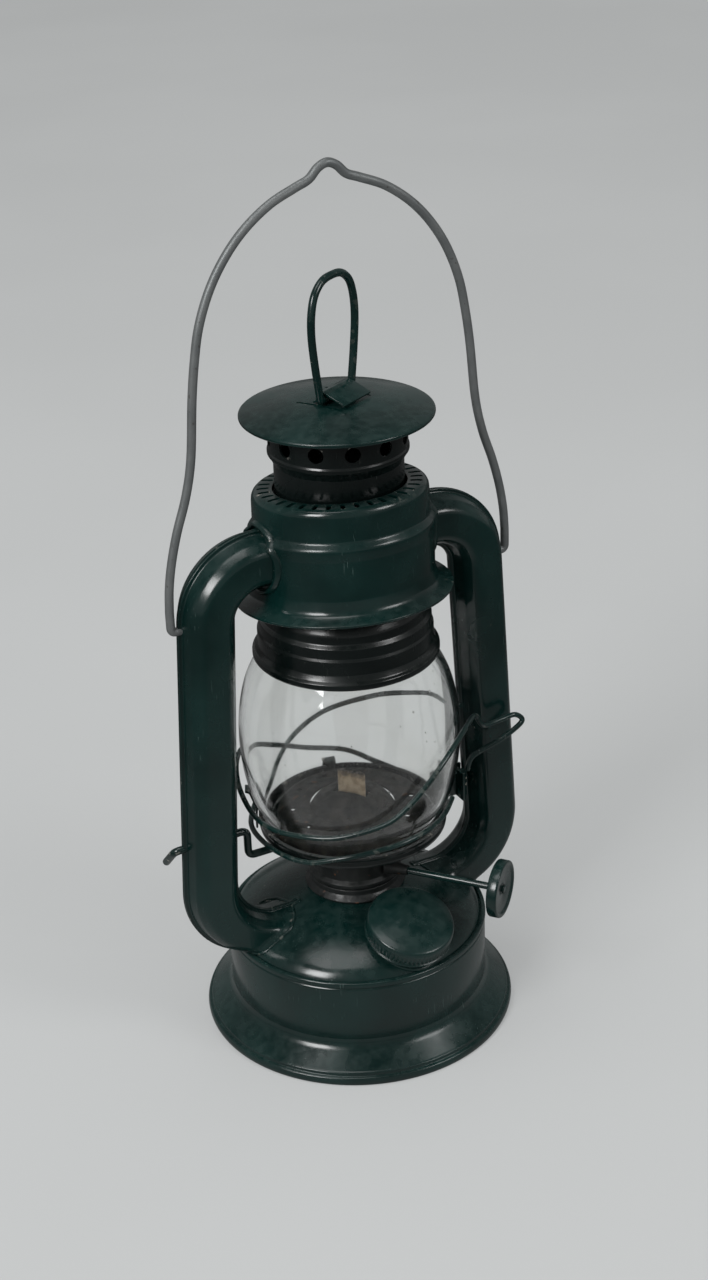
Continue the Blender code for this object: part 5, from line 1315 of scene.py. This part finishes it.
def rounded(points, radius, steps=8):
    """A path with each corner turned on a radius."""
    points = [Vector(point) for point in points]
    made = [points[0]]
    for before, corner, after in zip(points, points[1:], points[2:]):
        made += bend_at(before, corner, after, radius, steps)
    return made + [points[-1]]


lever_path = rounded([
    (LEVER_OUT, LEVER_ARM, LEVER_HEIGHT - LEVER_ARM), (LEVER_OUT, 0, LEVER_HEIGHT),
    (LEVER_IN, 0, LEVER_HEIGHT), (LEVER_IN, 0, LEVER_HEIGHT - LEVER_THROW),
    (-PLATE + 0.0064, 0, LEVER_HEIGHT - LEVER_THROW)], LEVER_BEND)
dressed(wire("globe_lever", lever_path, LEVER_WIRE), "lift_lever", ENAMEL, "enamel", "lift_lever")
print("Lever throw:", round(1000 * LEVER_THROW, 1), "mm")

# %% [markdown]
# The bail is the carrying wire. It is hooked through the seams of the tubes, bows out beside the
# lamp and closes in a small peak at the top where a hook can hold it.

# %% Bail
BAIL_WIRE = 0.0024
bail_low, bail_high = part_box("bail")
BAIL_HALF = bail_high.x - BAIL_WIRE / 2
BAIL_PIVOT = bail_low.z + BAIL_WIRE / 2
BAIL_TALL = bail_high.z - BAIL_WIRE / 2 - BAIL_PIVOT
BAIL_BEND = 0.0016
BAIL_SHARES = (
    (1.000, 0.052), (0.990, 0.110), (0.965, 0.172), (0.923, 0.240), (0.862, 0.318), (0.820, 0.403),
    (0.792, 0.532), (0.765, 0.618), (0.728, 0.695), (0.658, 0.772), (0.563, 0.837), (0.451, 0.889),
    (0.315, 0.931), (0.177, 0.957), (0.103, 0.970), (0.052, 0.991), (0.000, 1.000))
arch = [(share * BAIL_HALF, 0, BAIL_PIVOT + high * BAIL_TALL) for share, high in BAIL_SHARES]
arch = [tuple(point) for point in smooth(arch + other_side(arch), 6)]
hook_end = UPPER_X + TUBE_BODY + TUBE_FLANGE - 0.005
hook = rounded([(hook_end, 0, BAIL_PIVOT), (BAIL_HALF, 0, BAIL_PIVOT), arch[0]], BAIL_BEND)
bail_points = [tuple(point) for point in hook[:-1]] + arch + other_side(hook)
dressed(wire("carrying_bail", bail_points, BAIL_WIRE), "bail", ZINC, "zinc", "bail")
print("Bail:", round(2000 * BAIL_HALF, 1), "mm wide,", round(1000 * BAIL_TALL, 1), "mm over its hooks")

# %% [markdown]
# The burner stands in the fount's mouth: a collar, and a body that holds the wick raiser. They
# have been hot and oily for years, so they take the darkest tin. Both are turned outlines with a
# groove or a step where the real ones are rolled.

# %% Burner collar and body
collar_low, collar_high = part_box("burner_collar")
collar_skin = bent([
    (MOUTH + 0.0004, collar_high.z), (collar_high.x - 0.0013, collar_high.z, 0.0004),
    (collar_high.x - 0.0013, collar_low.z + 0.0019, 0.0006),
    (collar_high.x, collar_low.z + 0.0004, 0.0006), (collar_high.x, collar_low.z)])
dressed(turned("burner_ring", sheet_section(collar_skin)), "frame", BURNT, "soot", "burner_collar")

body_low, body_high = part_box("burner_body")
BURNER = body_high.x - 0.0010
body_skin = bent([
    (BURNER - 0.0006, body_high.z), (BURNER, body_high.z - 0.0008, 0.0005),
    (BURNER, body_high.z - 0.0040, 0.0006), (BURNER - 0.0005, body_high.z - 0.0046, 0.0006),
    (BURNER, body_high.z - 0.0052, 0.0006), (BURNER, body_low.z + 0.0022, 0.0006),
    (body_high.x, body_low.z + 0.0013, 0.0005), (body_high.x, body_low.z, 0.0004), (0.006, body_low.z)])
dressed(turned("burner_housing", sheet_section(body_skin)), "frame", BURNT, "soot", "burner_body")
print("Burner body:", round(2000 * BURNER, 1), "mm across")

# %% [markdown]
# Over the burner stands the draught cone, a small dome with a slot that draws the air on to the
# flame. It is covered with soot, so it takes the sooty finish. A ring of air holes pierces its
# foot, and the slot is punched askew, because the flat wick stands askew in the lamp.

# %% Draught cone
cone_low, cone_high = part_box("burner_cone")
CONE = cone_high.x
CONE_BEND = cone_low.z + 0.0052
CONE_SHARES = ((0.00, 1.00), (0.30, 0.96), (0.58, 0.78), (0.82, 0.46), (0.96, 0.00))
cone_arc = [(share * CONE, 0, CONE_BEND + high * (cone_high.z - CONE_BEND))
            for share, high in CONE_SHARES]
cone_arc = [Vector((point.x, point.z)) for point in smooth(cone_arc, 5)]
cone_wall = bent([
    (0.975 * CONE, CONE_BEND - 0.0004), (CONE, CONE_BEND - 0.0010, 0.0005), (CONE, cone_low.z)])
cone = turned("draught_cone", sheet_section(cone_arc + cone_wall))
WICK_WIDE = 0.0084
WICK_THICK = 0.0017
wick_frame = Matrix.Rotation(WICK_TURN, 4, "Z")
slot = block_punch((WICK_WIDE + 0.0019, WICK_THICK + 0.0019, 0.010))
punched(cone, slot, [wick_frame @ Matrix.Translation((0, 0, cone_high.z - 0.001))])
AIR_HOLES = 24
AIR_HOLE_RADIUS, AIR_HOLE_STEPS = 0.0007, 12
punched(cone, round_punch(AIR_HOLE_RADIUS, steps=AIR_HOLE_STEPS),
        all_round(AIR_HOLES, (CONE, 0, cone_low.z + 0.0026), ON_ITS_SIDE))
dressed(cone, "frame", SOOTY, "soot", "burner_cone")
print("Cone:", AIR_HOLES, "air holes")

# %% [markdown]
# The wick raiser is a shaft with two small toothed wheels inside and a pressed knob outside.
# The knob's face is dished and polished by the thumb, so it mirrors the pale surroundings.

# %% Knob, shaft and bushing
KNOB = 0.0082
SHAFT = 0.0010
SHAFT_OFFSET = 0.0043
SHAFT_HEIGHT = body_low.z + 0.0048
SHAFT_END = -0.0052
KNOB_SHEET = 0.0007
KNOB_FACE = WALL + 0.0100
raiser_frame = (wick_frame @ Matrix.Translation((0, -SHAFT_OFFSET, SHAFT_HEIGHT))
                @ Matrix.Rotation(math.pi / 2, 4, "Y"))
knob_skin = bent([
    (SHAFT + GAP, KNOB_FACE - 0.0005), (0.80 * KNOB, KNOB_FACE - 0.0005, 0.0010),
    (0.87 * KNOB, KNOB_FACE, 0.0008), (KNOB, KNOB_FACE, 0.0007), (KNOB, KNOB_FACE - 0.0030)])
knob = turned("raiser_knob", sheet_section(knob_skin, KNOB_SHEET), 96, raiser_frame)
dressed(knob, "wick_raiser", ENAMEL, "enamel", "wick_knob")
shaft_skin = bent([(0.0, KNOB_FACE - 0.0001), (SHAFT, KNOB_FACE - 0.0001, 0.0004),
                   (SHAFT, SHAFT_END, 0.0003), (0.0, SHAFT_END)])
shaft = turned("raiser_shaft", shaft_skin, 32, raiser_frame)
dressed(shaft, "wick_raiser", ENAMEL, "black", "wick_shaft")
root = math.sqrt(BURNER ** 2 - (SHAFT_OFFSET - 0.0022) ** 2)      # where it leaves the burner's wall
bushing_skin = bent([
    (SHAFT + GAP, root + 0.0062), (0.0014, root + 0.0062, 0.0004), (0.0021, root + 0.0012, 0.0006),
    (0.0024, root - 0.0004), (SHAFT + GAP, root - 0.0004)])
bushing = turned("raiser_bushing", bushing_skin, 48, raiser_frame)
dressed(bushing, "frame", BURNT, "soot", "shaft_bushing")
print("Knob:", round(2000 * KNOB, 1), "mm across")

# %% [markdown]
# The wick is a woven ribbon. Its top edge has burnt away unevenly, which a plain box would hide,
# so it is a grid of columns whose heights are drawn at random with a fixed seed, and a few charred
# threads stand up from it. The weave itself is in the material.

# %% Wick
WICK_COLUMNS, WICK_ROWS = 42, 60
WICK_RAGGED = 0.0011
dice = random.Random(7)
burnt = [dice.uniform(0.0, 1.0) for _ in range(WICK_COLUMNS + 1)]
burnt = [0.5 * burnt[i] + 0.25 * (burnt[max(i - 1, 0)] + burnt[min(i + 1, WICK_COLUMNS)])
         for i in range(WICK_COLUMNS + 1)]


def wick_rings():
    """Rings round the ribbon, from its foot to its burnt edge."""
    rings = []
    for row in range(WICK_ROWS + 1):
        share = row / WICK_ROWS
        thin = 1 - 0.35 * max(0.0, share - 0.93) / 0.07
        ring = []
        for face in (1, -1):
            columns = range(WICK_COLUMNS + 1) if face > 0 else range(WICK_COLUMNS, -1, -1)
            for column in columns:
                across = (column / WICK_COLUMNS - 0.5) * WICK_WIDE
                top = WICK_HIGH - WICK_RAGGED * burnt[column]
                height = WICK_LOW + (top - WICK_LOW) * share
                rounding = math.sqrt(max(1 - (2 * column / WICK_COLUMNS - 1) ** 8, 0.04))
                out = face * WICK_THICK / 2 * rounding * thin
                ring.append(wick_frame @ Vector((across, out, height)))
        rings.append(ring)
    return rings


dressed(lofted("wick_ribbon", wick_rings()), "wick", COTTON, "cotton", "wick")
THREADS = 9
THREAD = 0.00028
THREAD_FOOT, THREAD_BEND = WICK_HIGH - 0.0018, WICK_HIGH - 0.0006
for index in range(THREADS):
    across = dice.uniform(-0.48, 0.48) * WICK_WIDE
    lean = dice.uniform(-0.0006, 0.0006)
    tall = dice.uniform(0.0002, 0.0009)
    stem = [(across, 0, THREAD_FOOT), (across + lean / 2, lean / 3, THREAD_BEND),
            (across + lean, lean, THREAD_BEND + tall)]
    stem = [wick_frame @ point for point in smooth(stem, 4)]
    dressed(wire("charred_thread_" + str(index + 1), stem, THREAD), "wick", COTTON, "cotton")
print("Wick:", WICK_COLUMNS, "columns and", THREADS, "loose threads")

# %% [markdown]
# The filler cap screws on to a slanting neck. Its skirt is knurled for the fingers: a fine wave
# pressed round it. The helper that turns a section can move each step in and out, so the knurl is
# real geometry and shows on the outline. The tin neck under the cap has its screw thread, and a
# bead of solder joins it to the crown.

# %% Filler
FILLER_TURN, FILLER_TILT = math.radians(-86), math.radians(20)
FILLER_REACH = WALL - 0.0100
filler_place = Vector((FILLER_REACH * math.cos(FILLER_TURN), FILLER_REACH * math.sin(FILLER_TURN),
                       crown_height(FILLER_REACH)))
filler_frame = (Matrix.Translation(filler_place) @ Matrix.Rotation(FILLER_TURN, 4, "Z")
                @ Matrix.Rotation(FILLER_TILT, 4, "Y"))
FILLER_CAP, FILLER_SHEET = 0.0124, 0.0007
CAP_LIFT, CAP_TALL = 0.0012, 0.0074
KNURLS, KNURL_DEPTH = 64, 0.00045
top = CAP_LIFT + CAP_TALL
filler_skin = bent([
    (0.0, top), (0.45 * FILLER_CAP, top - 0.0003, 0.008), (0.80 * FILLER_CAP, top - 0.0012, 0.005),
    (FILLER_CAP - 0.0003, top - 0.0018, 0.0010), (FILLER_CAP, top - 0.0030, 0.0003),
    (FILLER_CAP, CAP_LIFT + 0.0013, 0.0003), (FILLER_CAP - 0.0004, CAP_LIFT + 0.0011, 0.0002),
    (FILLER_CAP - 0.0004, CAP_LIFT + 0.0008, 0.0002), (FILLER_CAP, CAP_LIFT + 0.0006, 0.0003),
    (FILLER_CAP, CAP_LIFT)])
knurl = (KNURLS, KNURL_DEPTH, top - 0.0031, CAP_LIFT + 0.0013, FILLER_CAP - 0.0002)
filler_section = sheet_section(filler_skin, FILLER_SHEET)
screw_cap = turned("filler_screw_cap", filler_section, 4 * KNURLS, filler_frame, knurl)
dressed(screw_cap, "filler_cap", THICK_ENAMEL, "enamel", "filler_cap")

NECK_PIPE = 0.0096
THREAD_TOP, THREAD_STEP, THREAD_TURNS = 0.0048, 0.0016, 3
neck_skin = [(NECK_PIPE - 0.0008, 0.0053)]
for turn in range(THREAD_TURNS):
    neck_skin += [(NECK_PIPE, THREAD_TOP - turn * THREAD_STEP, 0.0003),
                  (NECK_PIPE - 0.0004, THREAD_TOP - (turn + 0.5) * THREAD_STEP, 0.0003)]
neck_skin += [(NECK_PIPE, 0.0004, 0.0005), (NECK_PIPE, -0.0110)]
filler_pipe = turned("filler_pipe", sheet_section(bent(neck_skin)), 96, filler_frame)
dressed(filler_pipe, "frame", TIN, "tin", "filler_neck")

FILLER_SOLDER, SOLDER_STEPS = 0.0013, 64
neck_ring = []
for step in range(SOLDER_STEPS):
    turn = math.tau * step / SOLDER_STEPS
    point = filler_frame @ Vector((NECK_PIPE * math.cos(turn), NECK_PIPE * math.sin(turn), 0))
    point.z = crown_height(min(math.hypot(point.x, point.y), WALL - SEAM_WIDTH))
    neck_ring.append(point)
dressed(wire("solder_filler", neck_ring, FILLER_SOLDER, cyclic=True), "frame", ENAMEL, "enamel")
print("Filler cap:", KNURLS, "knurls")

# %% [markdown]
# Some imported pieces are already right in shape, since they are small flat tin parts hidden inside
# the tank or the burner. They stay as they are and only get a worn finish.

# %% Pieces kept from the frame
KEPT = {"fount_divider": TIN, "wick_tube": BURNT, "wick_sprocket_inner": TIN, "wick_sprocket_outer": TIN,
        "filler_gasket": CORK}
for name, finish in KEPT.items():
    piece = frame["nodes"][name]
    piece.data.materials.clear()
    piece.data.materials.append(finish)
print("Kept:", ", ".join(KEPT))

# %% [markdown]
# The stage is a plain pale floor. To the camera it shows its pale grey partly as a steady glow and
# partly with real shading, so that the lamp's shadow stays on it. In what the enamel mirrors, the
# floor darkens with distance: light falls on it close round the foot, and the room beyond is dim.

# %% Floor
FLOOR_HALF = 6.0
FLOOR_TONE = (0.54, 0.55, 0.55)
FLOOR_MOTTLE = 0.97                     # its darker patches
FLOOR_STEADY = 0.45                     # share of the steady glow
FADES_FROM, FADES_TO = 0.09, 0.27       # its mirror image fades between these reaches
FADED_NEAR, FADED_FAR = 0.50, 0.90


def mirrored_rays(tree, rays):
    """1 for what enamel and metal mirror, 0 for what is seen straight or through glass."""
    return times(tree, rays.outputs["Is Glossy Ray"], rays.outputs["Is Transmission Ray"], "SUBTRACT")


def pale_floor():
    bm = bmesh.new()
    corners = [(x * FLOOR_HALF, y * FLOOR_HALF, 0) for x, y in ((-1, -1), (1, -1), (1, 1), (-1, 1))]
    bm.faces.new([bm.verts.new(corner) for corner in corners])
    floor = made_object("floor", bm)
    made, tree, shader = paint("pale_floor", FLOOR_TONE, 0.75)
    spot = place_of(tree)
    rays = node(tree, "ShaderNodeLightPath")
    darker = tuple(FLOOR_MOTTLE * part for part in FLOOR_TONE)
    tone = blend(tree, mottle(tree, spot, 3.0), darker, FLOOR_TONE)
    away = node(tree, "ShaderNodeVectorMath", {0: spot}, operation="LENGTH").outputs["Value"]
    fading = scaled(tree, spread(tree, away, FADES_FROM, FADES_TO), FADED_NEAR, FADED_FAR)
    tone = blend(tree, times(tree, fading, mirrored_rays(tree, rays)), tone, (0.0, 0.0, 0.0))
    tree.links.new(tone, shader.inputs["Base Color"])
    glow = node(tree, "ShaderNodeEmission", {"Color": tone, "Strength": 1.0})
    seen = times(tree, rays.outputs["Is Camera Ray"], rays.outputs["Is Glossy Ray"], "ADD")
    seen = times(tree, seen, rays.outputs["Is Transmission Ray"], "ADD")
    inputs = {0: times(tree, seen, FLOOR_STEADY), 1: shader.outputs[0], 2: glow.outputs[0]}
    mix = node(tree, "ShaderNodeMixShader", inputs)
    tree.links.new(mix.outputs[0], tree.nodes["Material Output"].inputs["Surface"])
    floor.data.materials.append(made)
    return floor


print("Floor:", pale_floor().name)

# %% [markdown]
# The lamp was lit by two windows: a bright one to the left of the camera and a dimmer one to the
# right, which draw the two columns of highlights on every bead. Two large soft panels do the same,
# and a wide one overhead stands for the ceiling.

# %% Windows
WINDOW_AIM = Vector((0, 0, 0.10))


def window(name, turn, rise, distance, width, height, power):
    """A soft panel: degrees round from the front to the left, degrees up, and its size."""
    turn, rise = math.radians(turn), math.radians(rise)
    out = Vector((-math.sin(turn) * math.cos(rise), -math.cos(turn) * math.cos(rise), math.sin(rise)))
    data = bpy.data.lights.new(name, "AREA")
    data.shape = "RECTANGLE"
    data.size, data.size_y, data.energy = width, height, power
    lamp = bpy.data.objects.new(name, data)
    lamp.visible_transmission = False
    bpy.context.scene.collection.objects.link(lamp)
    facing = out.to_track_quat("Z", "Y").to_matrix().to_4x4()
    lamp.matrix_world = Matrix.Translation(WINDOW_AIM + out * distance) @ facing
    return lamp


panels = [window("left_window", 66, 34, 1.6, 0.52, 0.60, 14.0),
          window("right_window", -36, 36, 1.6, 0.50, 0.50, 6.0),
          window("ceiling", 100, 78, 1.7, 0.9, 0.9, 7.0)]
print("Light in watts:", {panel.name: panel.data.energy for panel in panels})

# %% [markdown]
# The room fills in from all sides, brighter from above. What enamel and metal mirror of it is the
# other way round: a pale horizon under a dark ceiling, which keeps the cap and the shoulders deep.
# The camera and the glass see the floor's pale grey behind the lamp.

# %% Room
ROOM_LOW, ROOM_HIGH = (0.26, 0.265, 0.265), (0.56, 0.57, 0.57)
MIRRORED_LOW, MIRRORED_HIGH = (0.28, 0.285, 0.285), (0.04, 0.042, 0.042)
HORIZON, ZENITH = -0.05, 0.9


def room():
    world = bpy.data.worlds.new("room")
    bpy.context.scene.world = world
    world.use_nodes = True
    tree = world.node_tree
    rays = node(tree, "ShaderNodeLightPath")
    way = node(tree, "ShaderNodeTexCoord").outputs["Generated"]
    up = node(tree, "ShaderNodeSeparateXYZ", {"Vector": way}).outputs["Z"]
    height = spread(tree, up, HORIZON, ZENITH)
    wall = blend(tree, height, ROOM_LOW, ROOM_HIGH)
    wall = blend(tree, mirrored_rays(tree, rays), wall, blend(tree, height, MIRRORED_LOW, MIRRORED_HIGH))
    seen = times(tree, rays.outputs["Is Camera Ray"], rays.outputs["Is Transmission Ray"], "ADD")
    tree.links.new(blend(tree, seen, wall, FLOOR_TONE), tree.nodes["Background"].inputs["Color"])
    return world


bpy.context.scene.view_settings.view_transform = "Standard"
print("World:", room().name)
